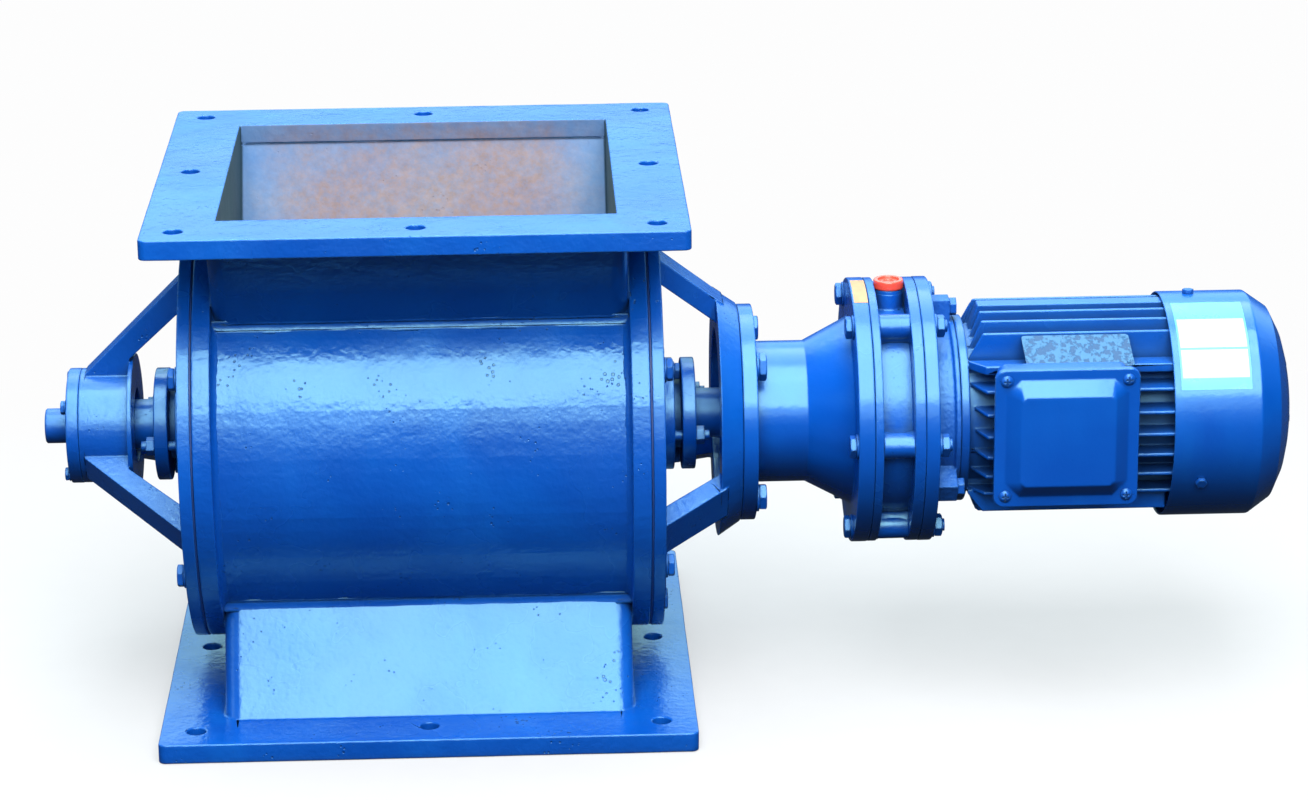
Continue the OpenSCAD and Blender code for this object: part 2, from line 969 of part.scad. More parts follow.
module rotor_hub() {
    color(dark_steel)
        difference() {
            disc(-rotor_h, rotor_h, hub_r);
            disc(-rotor_h - eps, rotor_h + eps, shaft_hub_d / 2 + fit);
            translate([-rotor_h - eps, -key_w / 2 - fit, axis_h])
                cube([2 * rotor_h + 2 * eps, key_w + 2 * fit, shaft_hub_d / 2 + 3 + fit]);
        }
}

module shaft_keys() {
    color(steel) {
        translate([-30, -key_w / 2, axis_h + shaft_hub_d / 2 - 5])
            cube([60, key_w, key_h]);
        translate([mount_out, -key_w / 2, axis_h + seat_r - 5])
            cube([50, key_w, key_h]);
    }
}

module rotor_vanes() {
    color(dark_steel)
        intersection() {
            on_axis(-rotor_h)
                difference() {
                    for (i = [0 : vane_n - 1])
                        at_angle((i + 0.5) * 360 / vane_n)
                            translate([0, -vane_t / 2, 0])
                                cube([bore_r, vane_t, 2 * rotor_h]);
                    translate([0, 0, -eps])
                        cylinder(h = 2 * rotor_h + 2 * eps, r = hub_r);
                }
            disc(-rotor_h - eps, rotor_h + eps, vane_tip_r);
        }
}

// ---------- reducer ----------

module through_holes(x, h, gap) {
    on_axis(x)
        for (a = through_angles)
            at_angle(a, through_circle)
                cylinder(h = h, r = through_bolt_d / 2 + gap);
}

module output_housing() {
    color(cast_blue)
        difference() {
            turned([
                [output_r + 3, seat_out - 4],
                [seat_bore_r - fit, seat_out - 4],
                [seat_bore_r - fit, seat_out],
                [mount_r, seat_out],
                [mount_r, mount_out],
                [neck_r, mount_out],
                [neck_r, neck_out],
                [cone_r, ring_flange_in],
                [ring_r, ring_flange_in],
                [ring_r, ring_in],
                [pin_circle_r - 5, ring_in],
                [output_disc_r + 4, output_disc_in - 2],
                [neck_bore_r, second_bearing + neck_bearing_w + 2],
                [neck_bore_r, first_bearing],
                [output_r + 3, first_bearing]
            ]);
            disc(seat_out - 4 - eps, seal_in + seal_w, output_r + 12 + fit);
            for (a = mount_bolt_angles)
                on_axis(seat_out - eps)
                    at_angle(a, mount_bolt_circle)
                        cylinder(h = mount_flange_t + 2 * eps, r = mount_bolt_d / 2 + 0.5);
            through_holes(ring_flange_in - eps, output_flange_t + 2 * eps, 0.5);
        }
}

module mounting_bolts() {
    color(bolt_blue)
        on_axis(mount_out)
            for (a = mount_bolt_angles)
                at_angle(a, mount_bolt_circle)
                    hex_bolt(mount_bolt_d, mount_flange_t + mount_thread);
}

module output_seal() {
    color([0.1, 0.1, 0.1])
        ring(seal_in, seal_in + seal_w, output_r + 12, output_r + fit);
}

module output_bearing_outer() {
    color(steel)
        for (x = [first_bearing, second_bearing])
            on_axis(x + neck_bearing_w / 2)
                outer_race(output_r, neck_bore_r - fit, neck_bearing_w);
}

module output_bearing_inner() {
    color(steel)
        for (x = [first_bearing, second_bearing])
            on_axis(x + neck_bearing_w / 2)
                inner_race(output_r + fit, neck_bore_r, neck_bearing_w);
}

module output_bearing_balls() {
    color(dark_steel)
        for (x = [first_bearing, second_bearing])
            on_axis(x + neck_bearing_w / 2)
                ball_set(output_r, neck_bore_r, 12);
}

module output_shaft() {
    color(steel)
        difference() {
            union() {
                disc(output_in, output_disc_in, output_r);
                disc(output_disc_in, output_disc_out, output_disc_r);
            }
            disc(output_in - eps, shaft_end + 1, seat_r + fit);
            disc(output_disc_out - 9, output_disc_out + eps, sleeve_r + 4);
            translate([output_in - eps, -key_w / 2 - fit, axis_h])
                cube([mount_out + 50 + 2 * eps - output_in, key_w + 2 * fit, seat_r + 3 + fit]);
            on_axis(output_disc_in - eps)
                for (i = [0 : output_pin_n - 1])
                    at_angle(i * 360 / output_pin_n, output_circle)
                        cylinder(h = output_disc_t + 2 * eps, r = output_pin_r + fit);
        }
}

module output_pins() {
    color(steel)
        on_axis(output_disc_in + 1)
            for (i = [0 : output_pin_n - 1])
                at_angle(i * 360 / output_pin_n, output_circle)
                    cylinder(h = disc_b_in + disc_t - output_disc_in, r = output_pin_r);
}

module ring_gear_housing() {
    bore = pin_circle_r - 0.6;
    color(cast_blue)
        difference() {
            union() {
                turned([
                    [bore, ring_in],
                    [ring_r, ring_in],
                    [ring_r, ring_in + left_lip],
                    [drum_r, ring_in + left_lip],
                    [drum_r, ring_out - right_lip],
                    [ring_r, ring_out - right_lip],
                    [ring_r, ring_out],
                    [bore, ring_out]
                ]);
                on_axis(ring_in)
                    for (a = through_angles)
                        at_angle(a, through_circle)
                            cylinder(h = ring_w, r = boss_r);
                translate([ring_in + ring_w / 2 - 1, 0, axis_h + plug_boss_in])
                    cylinder(h = plug_boss_out - plug_boss_in, r = plug_d / 2);
            }
            on_axis(ring_in - eps)
                cylinder(h = ring_w + 2 * eps, r = bore);
            on_axis(ring_in + 1)
                for (i = [0 : pin_n - 1])
                    at_angle(i * 360 / pin_n, pin_circle_r)
                        cylinder(h = ring_w, r = ring_pin_r + fit);
            through_holes(ring_in - eps, ring_w + 2 * eps, 0.5);
            translate([ring_in + ring_w / 2 - 1, 0, axis_h + bore - 2])
                cylinder(h = ring_r, r = plug_neck_r + fit);
        }
}

module ring_pins() {
    color(steel)
        on_axis(ring_in + pin_end_gap)
            for (i = [0 : pin_n - 1])
                at_angle(i * 360 / pin_n, pin_circle_r)
                    cylinder(h = ring_w - pin_end_gap, r = ring_pin_r);
}

// Point of the lobed outline that rolls inside the ring pins, for the angle t.
function lobe_point(t) =
    let (
        pr = ring_pin_r + mesh_gap,
        psi = atan2(sin((1 - pin_n) * t), pin_circle_r / (ecc * pin_n) - cos((1 - pin_n) * t))
    )
    [
        pin_circle_r * cos(t) - pr * cos(t + psi) - ecc * cos(pin_n * t),
        -pin_circle_r * sin(t) + pr * sin(t + psi) + ecc * sin(pin_n * t)
    ];

// Even steps u along one lobe, drawn closer together in the valleys at both of its ends.
function valley_step(u) = u - valley_bias * sin(360 * u) / (2 * PI);

// Disc outline with its bearing bore and output holes, the crank pointing along local x.
module cycloid_disc(h) {
    lobe = 360 / (pin_n - 1);
    difference() {
        linear_extrude(height = h)
            polygon([
                for (j = [0 : pin_n - 2], i = [0 : lobe_steps - 1])
                    lobe_point(lobe * (j + valley_step(i / lobe_steps)))
            ]);
        translate([0, 0, -eps])
            cylinder(h = h + 2 * eps, r = disc_bore_r);
        for (i = [0 : output_pin_n - 1])
            rotate([0, 0, i * 360 / output_pin_n])
                translate([output_circle, 0, -eps])
                    cylinder(h = h + 2 * eps, r = output_hole_r);
    }
}

// Places children on the crank of disc a (side 0) or disc b (side 1).
module on_crank(x, side) {
    on_axis(x)
        at_angle(side * 180, ecc)
            children();
}

module cycloid_disc_a() {
    color([0.55, 0.57, 0.6])
        on_crank(disc_a_in, 0)
            cycloid_disc(disc_t);
}

module cycloid_disc_b() {
    color([0.6, 0.62, 0.65])
        on_crank(disc_b_in, 1)
            cycloid_disc(disc_t);
}

module roller_set() {
    for (i = [0 : roller_n - 1])
        rotate([0, 0, i * 360 / roller_n])
            translate([roller_circle, 0, 1])
                cylinder(h = disc_t - 2, r = roller_r);
}

module rollers_a() {
    color(steel)
        on_crank(disc_a_in, 0)
            roller_set();
}

module rollers_b() {
    color(steel)
        on_crank(disc_b_in, 1)
            roller_set();
}

module eccentric_sleeve() {
    color(dark_steel)
        difference() {
            union() {
                on_crank(disc_a_in, 0)
                    cylinder(h = disc_t + 1, r = sleeve_r);
                on_crank(disc_b_in - 1, 1)
                    cylinder(h = disc_t + 1, r = sleeve_r);
                disc(disc_a_in + disc_t, disc_b_in, sleeve_r + ecc + 1);
            }
            disc(disc_a_in - eps, disc_b_in + disc_t + eps, motor_r + fit);
        }
}

module input_flange() {
    color(cast_blue)
        difference() {
            disc(ring_out, input_out, ring_r);
            disc(ring_out - eps, input_out + eps, motor_r + 5);
            through_holes(ring_out - eps, input_flange_t + 2 * eps, 0.5);
            on_axis(input_out - 8)
                for (a = ear_angles)
                    at_angle(a, ear_circle)
                        cylinder(h = 8 + eps, r = ear_bolt_d / 2 + fit);
        }
}

module through_bolts() {
    span = input_out - ring_flange_in;
    color(bolt_blue)
        on_axis(ring_flange_in)
            mirror([0, 0, 1])
                for (a = through_angles)
                    at_angle(a, through_circle)
                        hex_bolt(through_bolt_d, span + through_bolt_d * 0.8 + 2);
}

module through_nuts() {
    color(bolt_blue)
        on_axis(input_out)
            for (a = through_angles)
                at_angle(a, through_circle)
                    hex_nut(through_bolt_d, through_bolt_d * 0.8);
}

module oil_plug() {
    seat_z = axis_h + plug_boss_out;
    color([0.85, 0.16, 0.12])
        translate([ring_in + ring_w / 2 - 1, 0, 0]) {
            translate([0, 0, seat_z])
                cylinder(h = plug_h, r = plug_d / 2);
            translate([0, 0, seat_z - 12])
                cylinder(h = 12 + eps, r = plug_neck_r);
        }
}

// ---------- motor ----------

module drive_end_shield() {
    color(cast_blue)
        difference() {
            union() {
                turned([
                    [0, input_out],
                    [rim_r - 4, input_out],
                    [rim_r - 3, shield_out - 5],
                    [rim_r, shield_out - 4],
                    [rim_r, shield_out],
                    [stator_r, shield_out],
                    [stator_r, shield_out + 5],
                    [stator_r - 8, shield_out + 5],
                    [stator_r - 8, shield_out],
                    [0, shield_out]
                ]);
                on_axis(input_out)
                    for (a = ear_angles)
                        at_angle(a)
                            translate([stator_r - 4, -ear_w / 2, 0])
                                cube([ear_r - stator_r + 4, ear_w, ear_t]);
            }
            disc(input_out - eps, shield_out, journal_r + 1);
            disc(front_bearing, shield_out + eps, small_race_r + fit);
            on_axis(input_out - eps)
                for (a = ear_angles)
                    at_angle(a, ear_circle) {
                        cylinder(h = ear_t + 2 * eps, r = ear_bolt_d / 2 + 0.5);
                        translate([0, 0, ear_t + eps])
                            cylinder(h = shield_len, r = ear_bolt_d + 0.5);
                    }
            on_axis(input_out - eps)
                for (a = shield_screw_angles)
                    at_angle(a, shield_screw_circle) {
                        cylinder(h = shield_screw_d + 1 + eps, r = shield_screw_d * 0.8 + 0.3);
                        cylinder(h = shield_len + 2 * eps, r = shield_screw_d / 2 + 0.3);
                    }
        }
}

// Half width of the fin envelope at an offset from the centre.
function fin_reach(offset) = sqrt(fin_r * fin_r - offset * offset);

module fin_rows() {
    on_axis() {
        for (side = [0, 1])
            mirror([side, 0, 0]) {
                for (y = top_fins)
                    translate([y, 0, 0])
                        fin_plate(0, fin_reach(y + fin_t / 2), fin_t);
                for (z = side_fins)
                    translate([0, z, 0])
                        fin_plate(-90, fin_reach(abs(z) + fin_t / 2), fin_t);
                translate([0, corner_fin_z, 0])
                    fin_plate(-90, fin_reach(corner_fin_z + corner_fin_t / 2), corner_fin_t);
                for (y = bottom_fins)
                    translate([y, 0, 0])
                        fin_plate(180, fin_reach(y + fin_t / 2) - 4, fin_t);
                translate([(rail_in + rail_out) / 2, 0, 0])
                    fin_plate(180, rail_z, rail_out - rail_in, cowl_in - 1);
            }
        fin_plate(0, fin_reach(pad_w / 2), pad_w);
    }
}

// Fin in the shaft's frame, from the frame out to the given reach, cut back at its drive end.
module fin_plate(turn, reach, thick, finish = frame_out) {
    start = shield_out + rim_t;
    radial_plate(turn, thick, [
        [fin_sink, start],
        [fin_root, start],
        [reach, start + fin_chamfer],
        [reach, finish],
        [fin_sink, finish]
    ]);
}

module motor_frame() {
    color(cast_blue)
        difference() {
            union() {
                disc(shield_out, frame_out, frame_r);
                disc(shield_out, shield_out + rim_t, rim_r);
                fin_rows();
                on_axis(shield_out + eps)
                    for (a = shield_screw_angles)
                        at_angle(a, shield_screw_circle)
                            cylinder(h = frame_len - 2 * eps, r = shield_boss_r);
                facing_front(fin_sink)
                    translate([pad_inset - lid_w / 2, pad_inset - lid_h / 2, 0])
                        cube([lid_w - 2 * pad_inset, lid_h - 2 * pad_inset, box_back - fin_sink]);
            }
            disc(shield_out - eps, frame_out + eps, stator_r + fit);
            on_axis()
                for (a = shield_screw_angles)
                    at_angle(a, shield_screw_circle) {
                        translate([0, 0, shield_out - eps])
                            cylinder(h = 16, r = shield_screw_d / 2 + fit);
                        translate([0, 0, frame_out - 15])
                            cylinder(h = 15 + eps, r = shield_screw_d / 2 + fit);
                    }
            facing_front(0)
                cylinder(h = lid_reach, r = wire_hole_r);
            facing_front(box_back)
                translate([-box_w / 2 - box_gap, -box_h / 2 - box_gap, 0])
                    cube([box_w + 2 * box_gap, box_h + 2 * box_gap, lid_t * 2]);
        }
}

module stator_core() {
    color(dark_steel)
        ring(core_in, core_in + core_len, stator_r, core_bore_r);
}

module stator_coils() {
    color(copper)
        for (x = [core_in - coil_len, core_in + core_len])
            on_axis(x)
                rotate_extrude()
                    translate([core_bore_r + 4, 0])
                        rounded_profile(stator_r - core_bore_r - 8, coil_len, 5);
}

// Rectangle with its lower left corner at the origin and rounded corners.
module rounded_profile(w, h, r) {
    translate([w / 2, h / 2])
        rounded_square(w, h, r);
}

module rear_end_shield() {
    color(cast_blue)
        difference() {
            union() {
                turned([
                    [0, frame_out],
                    [stator_r - 8, frame_out],
                    [stator_r - 8, frame_out - 5],
                    [stator_r, frame_out - 5],
                    [stator_r, frame_out],
                    [rim_r - 3, frame_out],
                    [rim_r - 4, frame_out + 8],
                    [small_race_r + 12, rear_out],
                    [0, rear_out]
                ]);
                intersection() {
                    on_axis(frame_out)
                        for (a = cowl_screw_angles)
                            at_angle(a)
                                translate([rim_r - 14, -7, 0])
                                    cube([cowl_r, 14, cowl_ear_len]);
                    disc(frame_out - eps, cowl_out, cowl_r - cowl_t);
                }
            }
            disc(frame_out - 6, rear_out - 2, small_race_r + fit);
            disc(frame_out - 6, rear_out + eps, journal_r + 1);
            for (a = cowl_screw_angles)
                on_axis(cowl_screw_x)
                    at_angle(a, cowl_r - 14)
                        rotate([0, 90, 0])
                            cylinder(h = 20, r = cowl_screw_d / 2 + fit);
            on_axis(frame_out - eps)
                for (a = shield_screw_angles)
                    at_angle(a, shield_screw_circle) {
                        cylinder(h = rear_shield_t, r = shield_screw_d / 2 + 0.3);
                        translate([0, 0, 6 + eps])
                            cylinder(h = rear_shield_t, r = shield_screw_d * 0.8 + 0.3);
                    }
        }
}

module motor_bolts() {
    color(bolt_blue) {
        on_axis(input_out + ear_t)
            for (a = ear_angles)
                at_angle(a, ear_circle)
                    hex_bolt(ear_bolt_d, ear_t + input_flange_t - 3);
        on_axis(input_out + shield_screw_d + 1)
            mirror([0, 0, 1])
                for (a = shield_screw_angles)
                    at_angle(a, shield_screw_circle)
                        socket_screw(shield_screw_d, shield_len - shield_screw_d + 12);
        on_axis(frame_out + 6)
            for (a = shield_screw_angles)
                at_angle(a, shield_screw_circle)
                    socket_screw(shield_screw_d, 18);
    }
}

motor_bearing_mids = [front_bearing + small_bearing_w / 2, rear_bearing + small_bearing_w / 2];

module motor_bearing_outer() {
    color(steel)
        for (x = motor_bearing_mids)
            on_axis(x)
                outer_race(journal_r, small_race_r, small_bearing_w);
}

module motor_bearing_inner() {
    color(steel)
        for (x = motor_bearing_mids)
            on_axis(x)
                inner_race(journal_r + fit, small_race_r, small_bearing_w);
}

module motor_bearing_balls() {
    color(dark_steel)
        for (x = motor_bearing_mids)
            on_axis(x)
                ball_set(journal_r, small_race_r, 8);
}

module motor_shaft() {
    color(steel)
        turned([
            [0, shaft_tip],
            [motor_r, shaft_tip],
            [motor_r, front_bearing],
            [journal_r, front_bearing],
            [journal_r, front_bearing + small_bearing_w],
            [core_shaft_r, front_bearing + small_bearing_w],
            [core_shaft_r, rear_bearing],
            [journal_r, rear_bearing],
            [journal_r, rear_out + 4],
            [fan_shaft_r, rear_out + 4],
            [fan_shaft_r, shaft_right],
            [0, shaft_right]
        ]);
}

module rotor_core() {
    core_r = core_bore_r - air_gap;
    color(dark_steel)
        difference() {
            union() {
                disc(core_in, core_in + core_len, core_r);
                disc(core_in - 8, core_in + core_len + 8, core_r - 4);
            }
            disc(core_in - 9, core_in + core_len + 9, core_shaft_r + fit);
        }
}

module cooling_fan() {
    hub = fan_shaft_r + 10;
    color([0.08, 0.09, 0.1])
        on_axis(fan_in)
            difference() {
                union() {
                    cylinder(h = fan_w, r = hub);
                    cylinder(h = 3, r = fan_r - 12);
                    for (i = [0 : fan_blades_n - 1])
                        rotate([0, 0, i * 360 / fan_blades_n])
                            translate([hub - 3, -1.5, 1])
                                cube([fan_r - hub + 3, 3, fan_w - 2]);
                }
                translate([0, 0, -eps])
                    cylinder(h = fan_w + 2 * eps, r = fan_shaft_r + fit);
            }
}

module fan_cowl() {
    grille_r = cowl_r - 30;
    profile = [
        [cowl_r, cowl_in],
        [cowl_r, cowl_out - 33],
        [cowl_r - 12, cowl_out - 16],
        [cowl_r - 28, cowl_out - 8],
        [cowl_r - 45, cowl_out - 3],
        [cowl_r - 65, cowl_out - 1]
    ];
    color(cast_blue)
        difference() {
            turned(concat(
                profile,
                [[0, cowl_out], [0, cowl_out - cowl_t]],
                [for (i = [len(profile) - 1 : -1 : 2]) profile[i] - [cowl_t * 0.6, cowl_t]],
                [profile[1] - [cowl_t, 0], profile[0] - [cowl_t, 0]]
            ));
            on_axis(cowl_out - 12)
                difference() {
                    for (r = [12 : 8 : grille_r - 10])
                        difference() {
                            cylinder(h = 14, r = r + 5);
                            translate([0, 0, -eps])
                                cylinder(h = 15, r = r);
                        }
                    for (a = [0 : 60 : 120])
                        rotate([0, 0, a])
                            translate([-cowl_r, -3, -eps])
                                cube([2 * cowl_r, 6, 16]);
                }
            for (a = cowl_screw_angles)
                on_axis(cowl_screw_x)
                    at_angle(a, cowl_r - 6)
                        rotate([0, 90, 0])
                            cylinder(h = 10, r = cowl_screw_d / 2 + 0.3);
        }
}

module cowl_screws() {
    color(bolt_blue)
        for (a = cowl_screw_angles)
            on_axis(cowl_screw_x)
                at_angle(a, cowl_r)
                    rotate([0, 90, 0])
                        hex_bolt(cowl_screw_d, 13);
}

// ---------- terminal box ----------

// Puts children on the front of the motor: local x along X, y up, z towards the front.
module facing_front(reach) {
    translate([lid_x, -reach, axis_h + lid_up])
        rotate([90, 0, 0])
            children();
}

module lid_corners() {
    for (sx = [-1, 1], sy = [-1, 1])
        translate([sx * (lid_w / 2 - lid_screw_inset), sy * (lid_h / 2 - lid_screw_inset), 0])
            children();
}

module terminal_box() {
    depth = lid_in - box_back;
    color(cast_blue)
        difference() {
            union() {
                facing_front(box_back)
                    rounded_plate(box_w, box_h, depth, box_corner);
                facing_front(box_back + depth / 2)
                    translate([box_w / 2 - eps, entry_up, 0])
                        rotate([0, 90, 0])
                            cylinder(h = entry_boss_h + eps, r = min(entry_boss_r, depth / 2));
            }
            facing_front(box_back + box_wall)
                difference() {
                    rounded_plate(box_w - 2 * box_wall, box_h - 2 * box_wall, depth, box_corner - box_wall);
                    lid_corners()
                        translate([0, 0, -eps])
                            cylinder(h = depth + 2 * eps, r = lid_screw_d + 1);
                }
            facing_front(box_back - eps)
                cylinder(h = box_wall + 2 * eps, r = wire_hole_r);
            facing_front(lid_in - 14)
                lid_corners()
                    cylinder(h = 14 + eps, r = lid_screw_d / 2 + fit);
            facing_front(box_back + depth / 2)
                translate([box_w / 2 - box_wall - eps, entry_up, 0])
                    rotate([0, 90, 0])
                        cylinder(h = box_wall + entry_boss_h + 2 * eps, r = entry_r);
        }
}

module terminal_block() {
    color([0.12, 0.12, 0.12])
        facing_front(box_back + box_wall)
            translate([0, wire_hole_r + 3 + block_h / 2, 0]) {
                translate([-block_w / 2, -block_h / 2, 0])
                    cube([block_w, block_h, block_t]);
                for (ix = [-1 : 1], iy = [-1, 1])
                    translate([ix * 17, iy * block_h / 4, block_t - eps])
                        cylinder(h = 8 + eps, r = 2);
            }
}

module terminal_lid() {
    base_w = lid_w - 2 * panel_inset;
    base_h = lid_h - 2 * panel_inset;
    color(cast_blue)
        facing_front(lid_in)
            difference() {
                union() {
                    rounded_plate(lid_w, lid_h, lid_t, box_corner);
                    hull() {
                        translate([0, 0, lid_t - 0.5])
                            cut_plate(base_w, base_h, panel_cut);
                        translate([0, 0, lid_t + panel_h - 0.01])
                            cut_plate(base_w - 2 * panel_slope, base_h - 2 * panel_slope, panel_cut / 3);
                    }
                }
                lid_corners()
                    translate([0, 0, -eps])
                        cylinder(h = lid_t + 2 * eps, r = lid_screw_d / 2 + 0.3);
            }
}

// Thin rectangular plate with its corners cut off.
module cut_plate(w, h, cut) {
    linear_extrude(height = 0.01)
        polygon([
            [-w / 2 + cut, -h / 2], [w / 2 - cut, -h / 2], [w / 2, -h / 2 + cut], [w / 2, h / 2 - cut],
            [w / 2 - cut, h / 2], [-w / 2 + cut, h / 2], [-w / 2, h / 2 - cut], [-w / 2, -h / 2 + cut]
        ]);
}

module lid_screws() {
    color(bolt_blue)
        facing_front(lid_reach)
            lid_corners()
                pan_screw(lid_screw_d, lid_t + 11);
}

// ---------- drawing ----------

housing();
end_cover_left();
end_cover_right();
cover_gaskets();
cover_bolts();
stuffing_box_left();
stuffing_box_right();
stuffing_box_bolts();
packing_rings();
gland_left();
gland_right();
gland_studs();
gland_nuts();
bearing_outer_ring();
bearing_cap();
bearing_cap_bolts();
rotor_shaft();
rotor_hub();
rotor_vanes();
shaft_keys();
bearing_inner_ring();
bearing_lock_nut();
bearing_balls();
output_housing();
mounting_bolts();
output_seal();
output_bearing_outer();
output_bearing_inner();
output_bearing_balls();
output_shaft();
output_pins();
ring_gear_housing();
ring_pins();
cycloid_disc_a();
cycloid_disc_b();
rollers_a();
rollers_b();
eccentric_sleeve();
input_flange();
through_bolts();
through_nuts();
oil_plug();
drive_end_shield();
motor_bolts();
motor_frame();
stator_core();
stator_coils();
rear_end_shield();
motor_bearing_outer();
motor_bearing_inner();
motor_bearing_balls();
motor_shaft();
rotor_core();
cooling_fan();
fan_cowl();
cowl_screws();
terminal_box();
terminal_block();
terminal_lid();
lid_screws();
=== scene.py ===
"""Looks of the rotary airlock valve: camera, light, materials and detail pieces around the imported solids.

Metres throughout. +X runs along the shaft towards the motor and +Z is up.
The terminal box is on the -Y side, which is the front.
"""

import json
import math

import bmesh
import bpy
from mathutils import Matrix, Vector, noise
from mathutils.bvhtree import BVHTree


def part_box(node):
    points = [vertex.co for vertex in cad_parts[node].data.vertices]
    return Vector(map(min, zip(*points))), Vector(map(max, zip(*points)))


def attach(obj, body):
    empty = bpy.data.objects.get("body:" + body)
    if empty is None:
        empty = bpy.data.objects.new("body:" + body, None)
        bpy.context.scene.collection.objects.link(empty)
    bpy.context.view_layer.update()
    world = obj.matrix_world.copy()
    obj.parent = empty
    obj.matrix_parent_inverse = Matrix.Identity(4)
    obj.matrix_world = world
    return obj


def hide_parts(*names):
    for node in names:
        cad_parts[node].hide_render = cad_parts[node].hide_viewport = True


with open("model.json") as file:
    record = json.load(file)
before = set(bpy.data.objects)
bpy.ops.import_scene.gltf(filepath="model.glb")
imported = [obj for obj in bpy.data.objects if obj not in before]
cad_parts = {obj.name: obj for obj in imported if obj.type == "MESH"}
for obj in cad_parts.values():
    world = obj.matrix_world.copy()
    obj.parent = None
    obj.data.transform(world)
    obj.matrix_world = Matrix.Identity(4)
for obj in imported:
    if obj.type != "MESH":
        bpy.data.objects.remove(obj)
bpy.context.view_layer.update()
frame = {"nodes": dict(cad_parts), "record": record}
NODES = frame["nodes"]
RECORD = frame["record"]
BODY_OF = {n: b for b, ns in RECORD["behaviour"]["bodies"].items() for n in ns}
SLOT_OF = {s["node"]: s["material_slot"] for s in RECORD["subparts"]}

CAMERA_PLACE = (0.073016, -3.003321, 1.181622)
CAMERA_RIGHT = (0.99918, -0.03942, -0.00893)
CAMERA_AHEAD = (0.03483, 0.95173, -0.30495)
CAMERA_LENS = 107.99     # mm, on a 36 mm sensor
WHITE = (0.983, 0.983, 0.985)

AXIS_Z = 0.208           # height of the shaft's axis
BARREL_R = 0.160         # outside of the barrel
FLANGE_IN = 0.160        # inner faces of the end flanges, along X from the middle
NECK_HALF = 0.113        # half the depth of a throat where it leaves the barrel
THROAT_HALF = 0.160      # half the width of a throat along X
THROAT_SLOPE = 0.597     # how far a throat wall leans out over its rise
INNER_WALL = 0.0404      # half the depth between a throat's inner walls, run on to the axis
OPENING_HALF = 0.1506    # just past half the square opening
BORE_R = 0.1486          # just past the bore's radius
THROAT_FROM = 0.09       # height over the axis from which the throats' walls count

WELD = 2e-5              # CAD points closer than this are one point
FLAT_DOT = 0.9999        # faces whose normals agree this well are one flat face
SHARP_EDGE = 33.0        # degrees from which an edge is rounded
FILLET_SINK = 0.0006     # how far the fillets are sunk, so that their edges don't show
FLAT_TO_BOLT = 1.6       # half the width across flats over the bolt's radius
BOSS_CIRCLE_R = 0.0925   # the bosses round the through bolts
BOSS_HALF_LENGTH = 0.0148
BOSS_HALF_DEPTH = 0.0090
BOSS_HALF_WIDTH = 0.0088
LABEL_X = 0.623          # middle of the fan cowl's label along X
LABEL_R = 0.0905         # the fan cowl's outside
LABEL_DEGREES = (11.0, 66.0)
LABEL_FIELDS = ((25.5, 43.7), (45.0, 60.0))


# ---------- camera, light and stage ----------

def set_camera():
    cam = bpy.data.cameras.new("camera")
    cam.lens = CAMERA_LENS
    cam.sensor_width = 36.0
    cam.clip_end = 60.0
    obj = bpy.data.objects.new("camera", cam)
    right = Vector(CAMERA_RIGHT).normalized()
    ahead = Vector(CAMERA_AHEAD).normalized()
    up = right.cross(ahead)
    turn = Matrix((right, up, -ahead)).transposed().to_4x4()
    obj.matrix_world = Matrix.Translation(CAMERA_PLACE) @ turn
    bpy.context.scene.collection.objects.link(obj)
    bpy.context.scene.camera = obj


def area_light(name, place, target, size, power, colour=(1.0, 1.0, 1.0)):
    data = bpy.data.lights.new(name, "AREA")
    data.shape = "RECTANGLE"
    data.size, data.size_y = size
    data.energy = power
    data.color = colour
    obj = bpy.data.objects.new(name, data)
    obj.location = place
    obj.rotation_euler = (Vector(target) - Vector(place)).to_track_quat("-Z", "Y").to_euler()
    bpy.context.scene.collection.objects.link(obj)


def set_world():
    """Bright behind and above the object, dark in front and below, as in a studio with a white backdrop."""
    world = bpy.data.worlds.new("studio")
    world.use_nodes = True
    bpy.context.scene.world = world
    g = Graph(world.node_tree)
    out = g.new("ShaderNodeOutputWorld")
    direction = g.new("ShaderNodeTexCoord").outputs["Generated"]
    split = g.new("ShaderNodeSeparateXYZ", Vector=direction)
    back = g.ramp(split.outputs["Y"], [(0.0, 0.0), (1.0, 1.0)], low=0.05, high=0.75)
    above = g.ramp(split.outputs["Z"], [(0.0, 0.0), (1.0, 1.0)], low=-0.05, high=0.7)
    level = g.ramp(split.outputs["Z"], [(0.0, 0.05), (1.0, 1.0)], low=0.08, high=0.27)
    glow = g.math("MULTIPLY", g.math("MAXIMUM", back, g.math("MULTIPLY", above, 0.18)), level)
    strength = g.math("MULTIPLY_ADD", glow, 2.1, 0.02)
    ambient = g.new("ShaderNodeBackground", Color=(0.55, 0.91, 1.0, 1.0), Strength=strength)
    white = g.new("ShaderNodeBackground", Color=WHITE + (1.0,), Strength=1.0)
    path = g.new("ShaderNodeLightPath")
    mix = g.new("ShaderNodeMixShader")
    g.link(path.outputs["Is Camera Ray"], mix.inputs[0])
    g.link(ambient.outputs[0], mix.inputs[1])
    g.link(white.outputs[0], mix.inputs[2])
    g.link(mix.outputs[0], out.inputs["Surface"])


